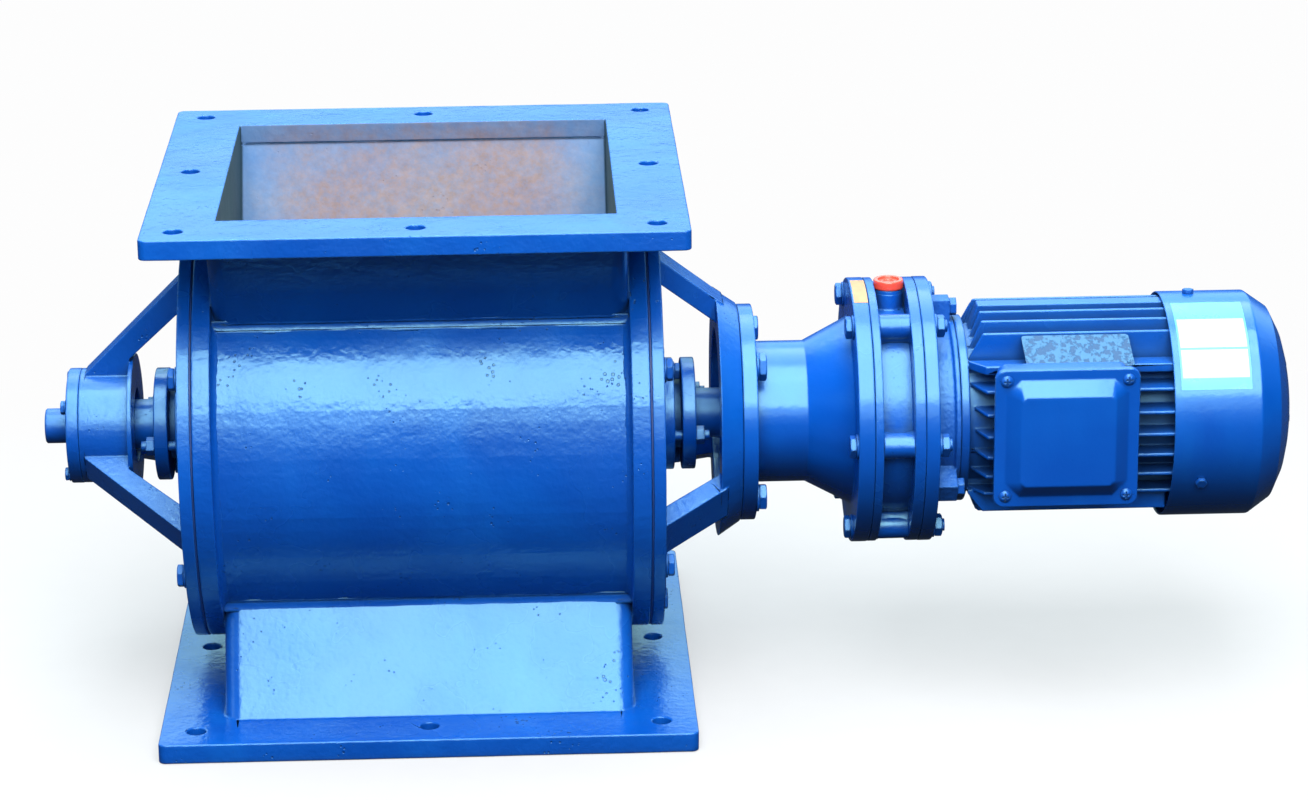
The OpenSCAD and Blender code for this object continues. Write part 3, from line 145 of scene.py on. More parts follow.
def set_stage():
    """White paper floor: it shows the object's shadow and fades into the white background further out."""
    mesh = bpy.data.meshes.new("floor")
    mesh.from_pydata([(-9, -9, 0), (9, -9, 0), (9, 9, 0), (-9, 9, 0)], [], [(0, 1, 2, 3)])
    floor = bpy.data.objects.new("floor", mesh)
    bpy.context.scene.collection.objects.link(floor)
    mat, g, paper = new_material("floor_paper")
    grain = g.noise(40.0, 3.0)
    path = g.new("ShaderNodeLightPath").outputs["Is Camera Ray"]
    seen = g.mix(grain, (0.42, 0.42, 0.43), (0.45, 0.45, 0.46))
    g.link(g.mix(path, (0.014, 0.016, 0.022), seen), paper.inputs["Base Color"])
    constants(paper, Roughness=0.8, Specular_IOR_Level=0.1)
    glow = g.new("ShaderNodeEmission", Color=WHITE + (1.0,), Strength=1.0)
    where = g.new("ShaderNodeSeparateXYZ", Vector=g.coords((1.0, 1.0, 1.0), (-0.19, 0.0, 0.0)))
    across = g.math("MULTIPLY", where.outputs["X"], 0.62)
    depth = g.math("POWER", where.outputs["Y"], 2.0)
    radius = g.math("SQRT", g.math("MULTIPLY_ADD", across, across, depth))
    fade = g.ramp(radius, [(0.0, 0.45), (1.0, 1.0)], 0.15, 0.85)
    mix = g.new("ShaderNodeMixShader")
    g.link(g.math("MULTIPLY", fade, path), mix.inputs[0])
    g.link(paper.outputs[0], mix.inputs[1])
    g.link(glow.outputs[0], mix.inputs[2])
    g.link(mix.outputs[0], g.tree.nodes["Material Output"].inputs["Surface"])
    floor.data.materials.append(mat)


# ---------- node graphs ----------

class Graph:
    """Short calls for building a node tree."""

    def __init__(self, tree):
        self.tree = tree
        tree.nodes.clear()

    def new(self, kind, **values):
        node = self.tree.nodes.new(kind)
        for key, value in values.items():
            socket = node.inputs[key.replace("_", " ")]
            self.put(value, socket)
        return node

    def link(self, a, b):
        self.tree.links.new(a, b)

    def put(self, value, socket):
        if isinstance(value, bpy.types.NodeSocket):
            self.link(value, socket)
        elif isinstance(value, tuple) and len(value) == 3 and socket.type == "RGBA":
            socket.default_value = (*value, 1.0)
        else:
            socket.default_value = value

    def math(self, operation, a, b=0.5, c=0.5, clamp=False):
        node = self.tree.nodes.new("ShaderNodeMath")
        node.operation = operation
        node.use_clamp = clamp
        for value, socket in zip((a, b, c), node.inputs):
            self.put(value, socket)
        return node.outputs[0]

    def ramp(self, value, stops, low=0.0, high=1.0):
        """Smooth step of a value between low and high; stops give what comes out at both ends."""
        node = self.tree.nodes.new("ShaderNodeMapRange")
        node.interpolation_type = "SMOOTHSTEP"
        self.put(value, node.inputs["Value"])
        node.inputs["From Min"].default_value = low
        node.inputs["From Max"].default_value = high
        node.inputs["To Min"].default_value = stops[0][1]
        node.inputs["To Max"].default_value = stops[-1][1]
        return node.outputs["Result"]

    def mix(self, share, a, b, blend="MIX"):
        node = self.tree.nodes.new("ShaderNodeMix")
        node.data_type = "RGBA"
        node.blend_type = blend
        self.put(share, node.inputs[0])
        self.put(a, node.inputs[6])
        self.put(b, node.inputs[7])
        return node.outputs[2]

    def coords(self, scale=(1.0, 1.0, 1.0), offset=(0.0, 0.0, 0.0)):
        if not hasattr(self, "texture_coords"):
            self.texture_coords = self.tree.nodes.new("ShaderNodeTexCoord").outputs["Object"]
        if scale == (1.0, 1.0, 1.0) and offset == (0.0, 0.0, 0.0):
            return self.texture_coords
        node = self.tree.nodes.new("ShaderNodeMapping")
        self.link(self.texture_coords, node.inputs["Vector"])
        node.inputs["Scale"].default_value = scale
        node.inputs["Location"].default_value = offset
        return node.outputs[0]

    def noise(self, scale, detail=2.0, rough=0.5, stretch=(1.0, 1.0, 1.0), offset=(0.0, 0.0, 0.0)):
        node = self.tree.nodes.new("ShaderNodeTexNoise")
        self.link(self.coords(stretch, offset), node.inputs["Vector"])
        node.inputs["Scale"].default_value = scale
        node.inputs["Detail"].default_value = detail
        node.inputs["Roughness"].default_value = rough
        return node.outputs["Fac"]

    def cells(self, scale, feature="F1", stretch=(1.0, 1.0, 1.0)):
        node = self.tree.nodes.new("ShaderNodeTexVoronoi")
        node.feature = feature
        self.link(self.coords(stretch), node.inputs["Vector"])
        node.inputs["Scale"].default_value = scale
        return node.outputs["Distance"]

    def bump(self, height, strength, distance, normal=None):
        node = self.tree.nodes.new("ShaderNodeBump")
        node.inputs["Strength"].default_value = strength
        node.inputs["Distance"].default_value = distance
        self.link(height, node.inputs["Height"])
        if normal is not None:
            self.link(normal, node.inputs["Normal"])
        return node.outputs[0]


def new_material(name):
    mat = bpy.data.materials.new(name)
    mat.use_nodes = True
    g = Graph(mat.node_tree)
    shader = g.new("ShaderNodeBsdfPrincipled")
    out = g.new("ShaderNodeOutputMaterial")
    g.link(shader.outputs[0], out.inputs["Surface"])
    return mat, g, shader


def constants(shader, **values):
    for key, value in values.items():
        shader.inputs[key.replace("_", " ")].default_value = value


# ---------- materials ----------

DEEP = (0.0012, 0.056, 0.34)
BLUE = (0.0018, 0.080, 0.42)
PALE = (0.005, 0.125, 0.52)
# painted shade for faces that point down
PAINTED_UNDER_SHADE = (0.0006, 0.020, 0.11)
# painted shade for crevices
PAINTED_CREVICE_SHADE = (0.0010, 0.018, 0.10)
PIT = (0.002, 0.030, 0.16)
# painted highlight along open edges
PAINTED_EDGE_HIGHLIGHT = (0.05, 0.27, 0.80)
CHIP = (0.018, 0.022, 0.030)
SHEEN_BLUE = (0.44, 0.92, 1.0, 1.0)
INLET_RUST = ((0.105, 0.052, 0.048), (0.240, 0.145, 0.140))
INLET_PAINT = ((0.025, 0.090, 0.26), (0.085, 0.170, 0.34))
# painted shade for the throats' side walls
PAINTED_INLET_SIDE_SHADE = (0.004, 0.007, 0.014)
STEEL_RUST = ((0.16, 0.055, 0.025), (0.36, 0.15, 0.07))


def enamel(name, rough=(0.24, 0.36), peel=0.25, cast=0.35, pits=0.5, wear=0.5, inside=False, gaps=0.012):
    """Glossy blue enamel: brushed-on colour, orange peel, the casting's unevenness, pits and worn edges.

    peel, cast, pits and wear are strengths; inside adds the throats' rust and their side walls' painted
    shade.
    wear is the strength of the chips; at 0 the chips and the painted edge highlight are both left out.
    Faces that point down and crevices get painted shade, and open edges get a painted highlight.
    gaps is the reach within which near faces darken crevices with painted shade.
    """
    mat, g, shader = new_material(name)
    broad = g.noise(7.0, 4.0, 0.55)
    brushed = g.noise(16.0, 3.0, 0.6, stretch=(1.0, 1.0, 0.35))
    colour = g.mix(g.ramp(broad, [(0, 0), (1, 1)], 0.32, 0.72), DEEP, BLUE)
    colour = g.mix(g.ramp(brushed, [(0, 0), (1, 0.35)], 0.50, 0.80), colour, PALE)
    # Painted shade: crevices, where near faces would block the light, are darkened; the same mask makes them
    # rougher.
    ao = g.new("ShaderNodeAmbientOcclusion")
    ao.samples = 4
    ao.inputs["Distance"].default_value = gaps
    crevice_shade = g.ramp(ao.outputs["AO"], [(0, 0.80), (1, 0.0)], 0.25, 0.85)
    # Painted shade: faces that point down are darkened, as if shaded from above.
    facing = g.new("ShaderNodeSeparateXYZ", Vector=g.new("ShaderNodeNewGeometry").outputs["Normal"])
    under_shade = g.ramp(facing.outputs["Z"], [(0, 0.80), (1, 0.0)], -0.75, 0.0)
    colour = g.mix(under_shade, colour, PAINTED_UNDER_SHADE)
    colour = g.mix(crevice_shade, colour, PAINTED_CREVICE_SHADE)
    fine = g.noise(420.0, 2.0, 0.6)
    peel_h = g.noise(230.0, 1.5, 0.45)
    cast_h = g.noise(42.0, 4.0, 0.5)
    pit_cells = g.math("MULTIPLY_ADD", g.noise(31.0, 2.0), -1.5, g.cells(230.0))
    pit = g.ramp(pit_cells, [(0, 1.0), (1, 0.0)], -0.87, -0.76)
    if wear:
        bevel = g.new("ShaderNodeBevel")
        bevel.samples = 4
        bevel.inputs["Radius"].default_value = 0.0016
        geometry = g.new("ShaderNodeNewGeometry")
        dot = g.tree.nodes.new("ShaderNodeVectorMath")
        dot.operation = "DOT_PRODUCT"
        g.link(bevel.outputs[0], dot.inputs[0])
        g.link(geometry.outputs["Normal"], dot.inputs[1])
        edge = g.ramp(dot.outputs["Value"], [(0, 1.0), (1, 0.0)], 0.80, 0.985)
        open_edge = g.ramp(ao.outputs["AO"], [(0, 0.0), (1, 1.0)], 0.80, 0.95)
        edge = g.math("MULTIPLY", edge, open_edge)
        patches = g.ramp(g.noise(60.0, 4.0, 0.7), [(0, 0), (1, 1)], 0.52, 0.60)
        worn = g.math("MULTIPLY", edge, patches)
        # Painted highlight: a pale line along open edges, as if they caught the light; the dark chips next
        # are real wear.
        colour = g.mix(g.math("MULTIPLY", edge, 0.30), colour, PAINTED_EDGE_HIGHLIGHT)
        chips = g.math("MULTIPLY", worn, wear)
        colour = g.mix(chips, colour, CHIP)
    colour = g.mix(g.math("MULTIPLY", pit, pits), colour, PIT)
    if inside:
        colour, inner = inlet_wear(g, colour)
    g.link(colour, shader.inputs["Base Color"])
    roughness = g.ramp(g.noise(11.0, 3.0, 0.6), [(0, rough[0]), (1, rough[1])], 0.3, 0.7)
    if inside:
        roughness = g.math("MULTIPLY_ADD", inner, 0.50, roughness)
    g.link(g.math("MULTIPLY_ADD", crevice_shade, 0.35, roughness), shader.inputs["Roughness"])
    height = g.math("MULTIPLY_ADD", cast_h, 3.2 * cast, g.math("MULTIPLY", peel_h, peel))
    height = g.math("MULTIPLY_ADD", fine, 0.10, height)
    height = g.math("MULTIPLY_ADD", pit, -0.7 * pits, height)
    normal = bevel.outputs[0] if wear else None
    g.link(g.bump(height, 0.55, 0.0011, normal), shader.inputs["Normal"])
    constants(shader, Specular_IOR_Level=0.90, Specular_Tint=SHEEN_BLUE)
    return mat


def inlet_wear(g, colour):
    """Inside the throats the enamel is thin and pale, rusty brown towards the middle of the walls; the side
    walls that face along X are darkened with painted shade.
    """
    split = g.new("ShaderNodeSeparateXYZ", Vector=g.coords())
    ax = g.math("ABSOLUTE", split.outputs["X"])
    ay = g.math("ABSOLUTE", split.outputs["Y"])
    height = g.math("ABSOLUTE", g.math("SUBTRACT", split.outputs["Z"], AXIS_Z))
    radius = g.math("SQRT", g.math("MULTIPLY_ADD", ay, ay, g.math("POWER", height, 2.0)))
    lean = g.math("MULTIPLY_ADD", height, THROAT_SLOPE, INNER_WALL)
    wall = g.math("MINIMUM", lean, OPENING_HALF)
    above_bore = g.math("GREATER_THAN", height, THROAT_FROM)
    in_throat = g.math("MULTIPLY", g.math("LESS_THAN", ay, wall), above_bore)
    in_bore = g.math("LESS_THAN", radius, BORE_R)
    between_ends = g.math("LESS_THAN", ax, OPENING_HALF)
    inner = g.math("MULTIPLY", g.math("MAXIMUM", in_throat, in_bore), between_ends)
    ragged_height = g.math("MULTIPLY_ADD", g.noise(14.0, 5.0, 0.65), 0.16, height)
    worn = g.ramp(ragged_height, [(0, 1.0), (1, 0.0)], 0.235, 0.325)
    ragged_side = g.math("MULTIPLY_ADD", g.noise(22.0, 4.0, 0.6), 0.05, ax)
    side = g.ramp(ragged_side, [(0, 1.0), (1, 0.15)], 0.105, 0.185)
    blotch = g.ramp(g.noise(170.0, 5.0, 0.75), [(0, 0.70), (1, 1.0)], 0.36, 0.64)
    amount = g.math("MULTIPLY", g.math("MULTIPLY", worn, side), blotch)
    rust = g.mix(g.noise(120.0, 4.0, 0.7), *INLET_RUST)
    thin = g.mix(g.noise(60.0, 4.0, 0.7), *INLET_PAINT)
    # Painted shade: throat walls that face along X are made dark, as if in shadow.
    normal = g.new("ShaderNodeSeparateXYZ", Vector=g.new("ShaderNodeNewGeometry").outputs["Normal"])
    side_wall_shade = g.ramp(g.math("ABSOLUTE", normal.outputs["X"]), [(0, 0.0), (1, 0.92)], 0.4, 0.8)
    inside = g.mix(side_wall_shade, g.mix(amount, thin, rust), PAINTED_INLET_SIDE_SHADE)
    return g.mix(inner, colour, inside), inner


def metal(name, base, rough=(0.25, 0.45), scratch=(1.0, 30.0, 30.0), rust=0.0):
    """Bare turned steel, with fine marks along the machining and some rust."""
    mat, g, shader = new_material(name)
    marks = g.noise(90.0, 3.0, 0.6, stretch=scratch)
    stain = g.noise(28.0, 4.0, 0.65)
    dark = tuple(0.62 * c for c in base)
    colour = g.mix(g.ramp(marks, [(0, 0), (1, 1)], 0.3, 0.7), dark, base)
    metallic = 1.0
    if rust:
        amount = g.ramp(stain, [(0, 0.0), (1, rust)], 0.45, 0.72)
        rusty = g.mix(g.noise(140.0, 3.0, 0.7), *STEEL_RUST)
        colour = g.mix(amount, colour, rusty)
        metallic = g.math("SUBTRACT", 1.0, amount)
    g.link(colour, shader.inputs["Base Color"])
    g.put(metallic, shader.inputs["Metallic"])
    g.link(g.ramp(stain, [(0, rough[0]), (1, rough[1])], 0.3, 0.7), shader.inputs["Roughness"])
    g.link(g.bump(marks, 0.25, 0.0004), shader.inputs["Normal"])
    return mat


def plain(name, low, high, rough=(0.4, 0.6), scale=60.0, bump=0.3, depth=0.0004, **values):
    """Moulded or sheet material with two close colours."""
    mat, g, shader = new_material(name)
    grain = g.noise(scale, 4.0, 0.6)
    g.link(g.mix(grain, low, high), shader.inputs["Base Color"])
    g.link(g.ramp(grain, [(0, rough[0]), (1, rough[1])], 0.3, 0.7), shader.inputs["Roughness"])
    g.link(g.bump(g.noise(scale * 4.0, 2.0), bump, depth), shader.inputs["Normal"])
    constants(shader, **values)
    return mat


# ---------- pieces ----------

def finish_piece(bm, name, body, material, replaced=None, smooth=38.0):
    """Turns a bmesh into a piece that rides on its body; edges of more than smooth degrees stay sharp."""
    mesh = bpy.data.meshes.new(name)
    bmesh.ops.recalc_face_normals(bm, faces=bm.faces)
    for edge in bm.edges:
        edge.smooth = edge.calc_face_angle(math.pi) < math.radians(smooth)
    for face in bm.faces:
        face.smooth = True
    bm.to_mesh(mesh)
    bm.free()
    piece = bpy.data.objects.new(name, mesh)
    bpy.context.scene.collection.objects.link(piece)
    mesh.materials.append(material)
    weights = piece.modifiers.new("weighted", "WEIGHTED_NORMAL")
    weights.keep_sharp = True
    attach(piece, body)
    if replaced:
        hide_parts(replaced)
    return piece


def flat_group(start, left):
    """The faces that are flat with start and joined to it; they are taken out of left."""
    left.discard(start)
    group = [start]
    stack = [start]
    while stack:
        for edge in stack.pop().edges:
            for other in edge.link_faces:
                if other in left and other.normal.dot(start.normal) > FLAT_DOT:
                    left.discard(other)
                    group.append(other)
                    stack.append(other)
    return group


def has_one_rim(group):
    """Whether the outline of a group of faces is a single loop that nowhere touches itself."""
    inside = set(group)
    rim = {e for f in group for e in f.edges if sum(other in inside for other in e.link_faces) == 1}
    reached = {next(iter(rim))}
    stack = list(reached)
    while stack:
        for vert in stack.pop().verts:
            for edge in vert.link_edges:
                if edge in rim and edge not in reached:
                    reached.add(edge)
                    stack.append(edge)
    corners = {v for e in rim for v in e.verts}
    return len(reached) == len(rim) == len(corners)


def join_flat_faces(bm):
    """Joins the triangles of each flat face that has no hole; a face with holes stays in triangles."""
    faces = bm.faces[:]
    left = set(faces)
    groups = [flat_group(start, left) for start in faces if start in left]
    for group in groups:
        if len(group) > 1 and has_one_rim(group):
            bmesh.ops.dissolve_faces(bm, faces=group, use_verts=False)


def bevelled(node, width, segments=3):
    """A copy of a CAD node with rounded edges, and the CAD node's surface.

    Points that the bevel threw off the surface go back onto it.
    """
    bm = bmesh.new()
    bm.from_mesh(NODES[node].data)
    bmesh.ops.remove_doubles(bm, verts=bm.verts, dist=WELD)
    surface = BVHTree.FromBMesh(bm)
    if node in JOINED_WITH_HOLES:
        bmesh.ops.dissolve_limit(bm, angle_limit=math.radians(1.0), verts=bm.verts, edges=bm.edges)
    elif node not in KEPT_TRIANGLES:
        join_flat_faces(bm)
    sharp_angle = math.radians(SHARP_EDGE)
    sharp = [e for e in bm.edges if e.is_manifold and e.calc_face_angle(0.0) > sharp_angle]
    bmesh.ops.bevel(bm, geom=sharp, offset=width, offset_type="OFFSET", segments=segments, profile=0.5,
                    affect="EDGES", clamp_overlap=False, loop_slide=True)
    pull_back(bm, surface, width)
    bmesh.ops.dissolve_degenerate(bm, dist=1e-5, edges=bm.edges)
    return bm, surface


def pull_back(bm, surface, reach):
    """Puts points that lie farther than reach from the surface back onto it."""
    for vert in bm.verts:
        place, _, _, away = surface.find_nearest(vert.co)
        if away > reach:
            vert.co = place


def softened(node, material, width=0.0011, wave=0.0, grid=0.012):
    """A copy of a CAD node with rounded edges and, for rough castings, slightly uneven faces.

    wave is how deep the unevenness goes, and grid is the spacing of the points that carry it.
    """
    bm, surface = bevelled(node, width)
    low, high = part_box(node)
    if wave:
        for axis in range(3):
            step = Vector((0, 0, 0))
            step[axis] = 1.0
            for i in range(1, int((high[axis] - low[axis]) / grid)):
                place = Vector((0, 0, 0))
                place[axis] = low[axis] + i * grid
                everything = bm.verts[:] + bm.edges[:] + bm.faces[:]
                bmesh.ops.bisect_plane(bm, geom=everything, dist=1e-5, plane_co=place, plane_no=step)
        pull_back(bm, surface, width)
        bm.normal_update()
        for vert in bm.verts:
            uneven = 0.7 * noise.noise(vert.co * 26.0) + 0.3 * noise.noise(vert.co * 75.0)
            vert.co -= vert.normal * wave * (0.5 + 0.5 * uneven)
    for vert in bm.verts:
        vert.co = Vector(min(max(c, a), b) for c, a, b in zip(vert.co, low, high))
    return finish_piece(bm, node + "_soft", BODY_OF[node], material, node, smooth=26.0)


def islands(node):
    """The separate solids of a CAD node, each as a list of points."""
    bm = bmesh.new()
    bm.from_mesh(NODES[node].data)
    bmesh.ops.remove_doubles(bm, verts=bm.verts, dist=WELD)
    left = set(bm.verts)
    found = []
    for first in bm.verts:
        if first not in left:
            continue
        left.discard(first)
        stack = [first]
        group = []
        while stack:
            vert = stack.pop()
            group.append(vert.co.copy())
            for edge in vert.link_edges:
                other = edge.other_vert(vert)
                if other in left:
                    left.discard(other)
                    stack.append(other)
        found.append(group)
    bm.free()
    return sorted(found, key=lambda g: (round(g[0].x, 4), round(g[0].y, 4), round(g[0].z, 4)))


def loft(bm, rings, close_start=True, close_end=True):
    """Skins a row of rings of points that all have the same number of points."""
    loops = [[bm.verts.new(p) for p in ring] for ring in rings]
    count = len(loops[0])
    for a, b in zip(loops, loops[1:]):
        for i in range(count):
            j = (i + 1) % count
            bm.faces.new((a[i], a[j], b[j], b[i]))
    if close_start:
        bm.faces.new(loops[0])
    if close_end:
        bm.faces.new(loops[-1])


class HexPart:
    """Place and sizes of one bolt or nut along X, read off its CAD solid."""

    def __init__(self, points):
        ys = [p.y for p in points]
        zs = [p.z for p in points]
        self.y = (min(ys) + max(ys)) / 2
        self.z = (min(zs) + max(zs)) / 2
        self.corner = max(self.reach(p) for p in points)
        corners = [p for p in points if self.reach(p) > 0.97 * self.corner]
        self.start = min(p.x for p in corners)
        self.end = max(p.x for p in corners)
        first = corners[0]
        self.phase = math.atan2(first.z - self.z, first.y - self.y)
        self.low = min(p.x for p in points)
        self.high = max(p.x for p in points)
        self.flat = self.corner * math.cos(math.radians(30))

    def reach(self, point):
        return math.hypot(point.y - self.y, point.z - self.z)

    def point(self, x, radius, turn):
        return Vector((x, self.y + radius * math.cos(turn), self.z + radius * math.sin(turn)))

    def round_ring(self, x, radius, count=36):
        turns = [self.phase + 2 * math.pi * i / count for i in range(count)]
        return [self.point(x, radius, turn) for turn in turns]

    def hex_ring(self, x, toward=0.0, count=36):
        """Points round the hexagon; with toward, each lies lower the further out it is, as on a chamfer."""
        ring = []
        for i in range(count):
            turn = 2 * math.pi * i / count
            radius = self.flat / math.cos((turn % (math.pi / 3)) - math.pi / 6)
            drop = (radius - 0.94 * self.flat) * 0.5 * toward
            ring.append(self.point(x - drop, radius, self.phase + turn))
        return ring


def hex_fasteners(node, outward, washer=True, thread_out=0.0):
    """Bolts or nuts of a node with chamfered hexagons, a washer each, and the visible end of the thread.

    outward is +1 or -1: the way along X from the seat to the top of the head.
    0 takes the side away from the middle.
    """
    bm = bmesh.new()
    for points in islands(node):
        part = HexPart(points)
        way = outward or (1 if part.start > 0 else -1)
        seat, top = (part.start, part.end) if way > 0 else (part.end, part.start)
        height = abs(top - seat)
        bolt_r = part.flat / FLAT_TO_BOLT
        lift = 0.0
        if washer:
            lift = 0.22 * height
            out = 1.06 * part.corner
            loft(bm, [part.round_ring(seat, out), part.round_ring(seat + way * (lift - 0.0004), out),
                      part.round_ring(seat + way * lift, out - 0.0005)])
        base = seat + way * (lift + 0.0002)
        inner = 0.94 * part.flat
        loft(bm, [part.round_ring(base - way * 0.0004, inner), part.round_ring(base, inner),
                  part.hex_ring(base, -0.6 * way), part.hex_ring(top, way), part.round_ring(top, inner),
                  part.round_ring(top - way * 0.0003, 0.80 * part.flat)])
        far = part.low if way > 0 else part.high
        if abs(far - seat) > 0.002:
            loft(bm, [part.round_ring(seat + way * 0.001, bolt_r), part.round_ring(far, bolt_r)])
        if thread_out:
            loft(bm, thread_rings(part, top - way * 0.001, top + way * thread_out, bolt_r, way))
    name = node + "_detailed"
    return finish_piece(bm, name, BODY_OF[node], FINISH[SLOT_OF[node]], node, smooth=28.0)


def thread_rings(part, start, end, radius, way, pitch=0.00125):
    """Rings that skin the end of a thread, with a chamfer on its tip."""
    rings = []
    turns = max(1, int(abs(end - start) / pitch))
    for i in range(turns):
        x = start + way * i * pitch
        rings.append(part.round_ring(x, radius, 24))
        rings.append(part.round_ring(x + way * 0.5 * pitch, radius - 0.0006, 24))
    rings.append(part.round_ring(end - way * 0.0008, radius, 24))
    rings.append(part.round_ring(end, radius - 0.0011, 24))
    return rings


def curved_sheet(name, body, material, x_range, degrees, radius, thick=0.0002):
    """A thin sheet stuck round a cylinder on the main axis; degrees run from the top towards the front."""
    bm = bmesh.new()
    rings = []
    for i in range(25):
        turn = math.radians(degrees[0] + (degrees[1] - degrees[0]) * i / 24)
        out = Vector((0.0, -math.sin(turn), math.cos(turn)))
        low, high = radius - 0.0003, radius + thick
        corners = [(x_range[0], low), (x_range[0], high), (x_range[1], high), (x_range[1], low)]
        rings.append([Vector((x, 0.0, AXIS_Z)) + out * r for x, r in corners])
    loft(bm, rings)
    return finish_piece(bm, name, body, material)


def rounded_plate(name, body, material, centre, across, down, size, thick, corner=0.003, rivets=0.0016):
    """A thin plate with rounded corners and a rivet near each one."""
    bm = bmesh.new()
    out = down.cross(across).normalized()
    if out.z < 0:
        out = -out
    half_a, half_d = size[0] / 2, size[1] / 2

    def outline(inset, lift):
        points = []
        for k in range(4):
            sign_a, sign_d = ((1, 1), (-1, 1), (-1, -1), (1, -1))[k]
            for i in range(5):
                turn = math.pi / 2 * (k + i / 4)
                a = sign_a * (half_a - corner) + (corner - inset) * math.cos(turn)
                d = sign_d * (half_d - corner) + (corner - inset) * math.sin(turn)
                points.append(centre + across * a + down * d + out * lift)
        return points

    loft(bm, [outline(0.0, -thick), outline(0.0, -0.0002), outline(0.0003, 0.0)])
    for sign_a in (-1, 1):
        for sign_d in (-1, 1):
            spot = centre + across * sign_a * (half_a - 0.0045) + down * sign_d * (half_d - 0.0045)
            rings = []
            for i in range(4):
                lean = math.pi / 2 * i / 4
                lift = out * rivets * 0.6 * math.sin(lean)
                ring = []
                for j in range(12):
                    turn = math.tau * j / 12
                    aside = across * math.cos(turn) + down * math.sin(turn)
                    ring.append(spot + aside * rivets * math.cos(lean) + lift)
                rings.append(ring)
            loft(bm, rings)
    return finish_piece(bm, name, body, material, smooth=50.0)


def arc_section(corner, way_a, way_b, radius, steps=10):
    """Cross-section of a fillet between two faces that leave the corner along way_a and way_b."""
    half = way_a.angle(way_b) / 2
    middle = (way_a + way_b).normalized()
    reach = radius / math.tan(half)
    centre = corner + middle * (radius / math.sin(half))
    start = corner + way_a * reach - centre
    end = corner + way_b * reach - centre
    points = [corner - middle * 0.003]
    for i in range(steps + 1):
        ray = start.lerp(end, i / steps).normalized()
        points.append(centre + ray * radius - middle * FILLET_SINK)
    return points


def body_fillets():
    """Wide, slightly uneven cast fillets of the valve body: at its end flanges and at the throats."""
    bm = bmesh.new()
    for side in (-1, 1):
        rings = []
        for i in range(145):
            turn = math.tau * (i % 144) / 144
            out = Vector((0.0, math.cos(turn), math.sin(turn)))
            radius = 0.0062 + 0.0009 * noise.noise(out * 9.0 + Vector((side * 5.0, 0.0, 0.0)))
            corner = Vector((side * FLANGE_IN, BARREL_R))
            section = arc_section(corner, Vector((-side, 0.0)), Vector((0.0, 1.0)), radius)
            rings.append([Vector((p.x, 0.0, AXIS_Z)) + out * p.y for p in section])
        loft(bm, rings, False, False)
    along = Vector((THROAT_SLOPE, 1.0)).normalized()
    rise = math.sqrt(BARREL_R ** 2 - NECK_HALF ** 2)
    seam = Vector((NECK_HALF, rise))
    round_barrel = Vector((rise, -NECK_HALF)).normalized()
    for up in (-1, 1):
        for side in (-1, 1):
            rings = []
            for i in range(81):
                x = THROAT_HALF * (i / 40 - 1.0)
                radius = 0.0085 + 0.0012 * noise.noise(Vector((x * 40.0, up * 3.0, side * 3.0)))
                section = arc_section(seam, round_barrel, along, radius)
                rings.append([Vector((x, side * p.x, AXIS_Z + up * p.y)) for p in section])
            loft(bm, rings)
    bmesh.ops.remove_doubles(bm, verts=bm.verts, dist=1e-6)
    return finish_piece(bm, "body_fillets", BODY_OF["housing"], CAST, smooth=50.0)


def through_bolt_bosses():
    """Cast bosses round the through bolts, between the two flanges of the ring gear housing."""
    bm = bmesh.new()
    low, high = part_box("ring_gear_housing")
    for points in islands("through_bolts"):
        part = HexPart(points)
        away = Vector((0.0, part.y, part.z - AXIS_Z)).normalized()
        side = Vector((0.0, -away.z, away.y))
        centre = Vector((0.0, 0.0, AXIS_Z)) + away * BOSS_CIRCLE_R
        rings = []
        for i in range(13):
            share = i / 6 - 1.0
            x = (low.x + high.x) / 2 + share * BOSS_HALF_LENGTH
            flare = 1.0 + 0.30 * abs(share) ** 3
            ring = []
            for j in range(28):
                turn = math.tau * j / 28
                c, s = math.cos(turn), math.sin(turn)
                square = (abs(c) ** 4 + abs(s) ** 4) ** -0.25
                spot = centre + away * c * square * BOSS_HALF_DEPTH * flare
                spot += side * s * square * BOSS_HALF_WIDTH * flare
                ring.append(Vector((x, spot.y, spot.z)))
            rings.append(ring)
        loft(bm, rings)
    body = BODY_OF["ring_gear_housing"]
    return finish_piece(bm, "through_bolt_bosses", body, COVER, smooth=50.0)


def oil_plug():
    """Wide red plug with a raised rim, on a painted collar."""
    low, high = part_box("oil_plug")
    middle = (low + high) / 2
    reach = (high.x - low.x) / 2

    def turned(profile):
        """Skins a profile of shares of the plug's radius and depths below its top."""
        rings = []
        for share, depth in profile:
            radius = reach * share
            ring = []
            for j in range(48):
                turn = math.tau * j / 48
                x = middle.x + radius * math.cos(turn)
                y = middle.y + radius * math.sin(turn)
                ring.append(Vector((x, y, high.z - depth)))
            rings.append(ring)
        bm = bmesh.new()
        loft(bm, rings)
        return bm

    skirt = [(0.90, 0.0075), (0.97, 0.0070), (1.0, 0.0060), (1.0, 0.0012), (0.96, 0.0003), (0.90, 0.0)]
    recess = [(0.74, 0.0), (0.70, 0.0004), (0.68, 0.0018), (0.36, 0.0018), (0.34, 0.0024), (0.0001, 0.0024)]
    cap = turned(skirt + recess)
    body = BODY_OF["oil_plug"]
    finish_piece(cap, "red_plug_cap", body, FINISH["plug_red"], "oil_plug", smooth=50.0)
    collar = turned([(0.96, high.z - low.z), (0.96, 0.0085), (0.92, 0.0075), (0.5, 0.0075)])
    finish_piece(collar, "plug_collar", body, COVER, smooth=50.0)


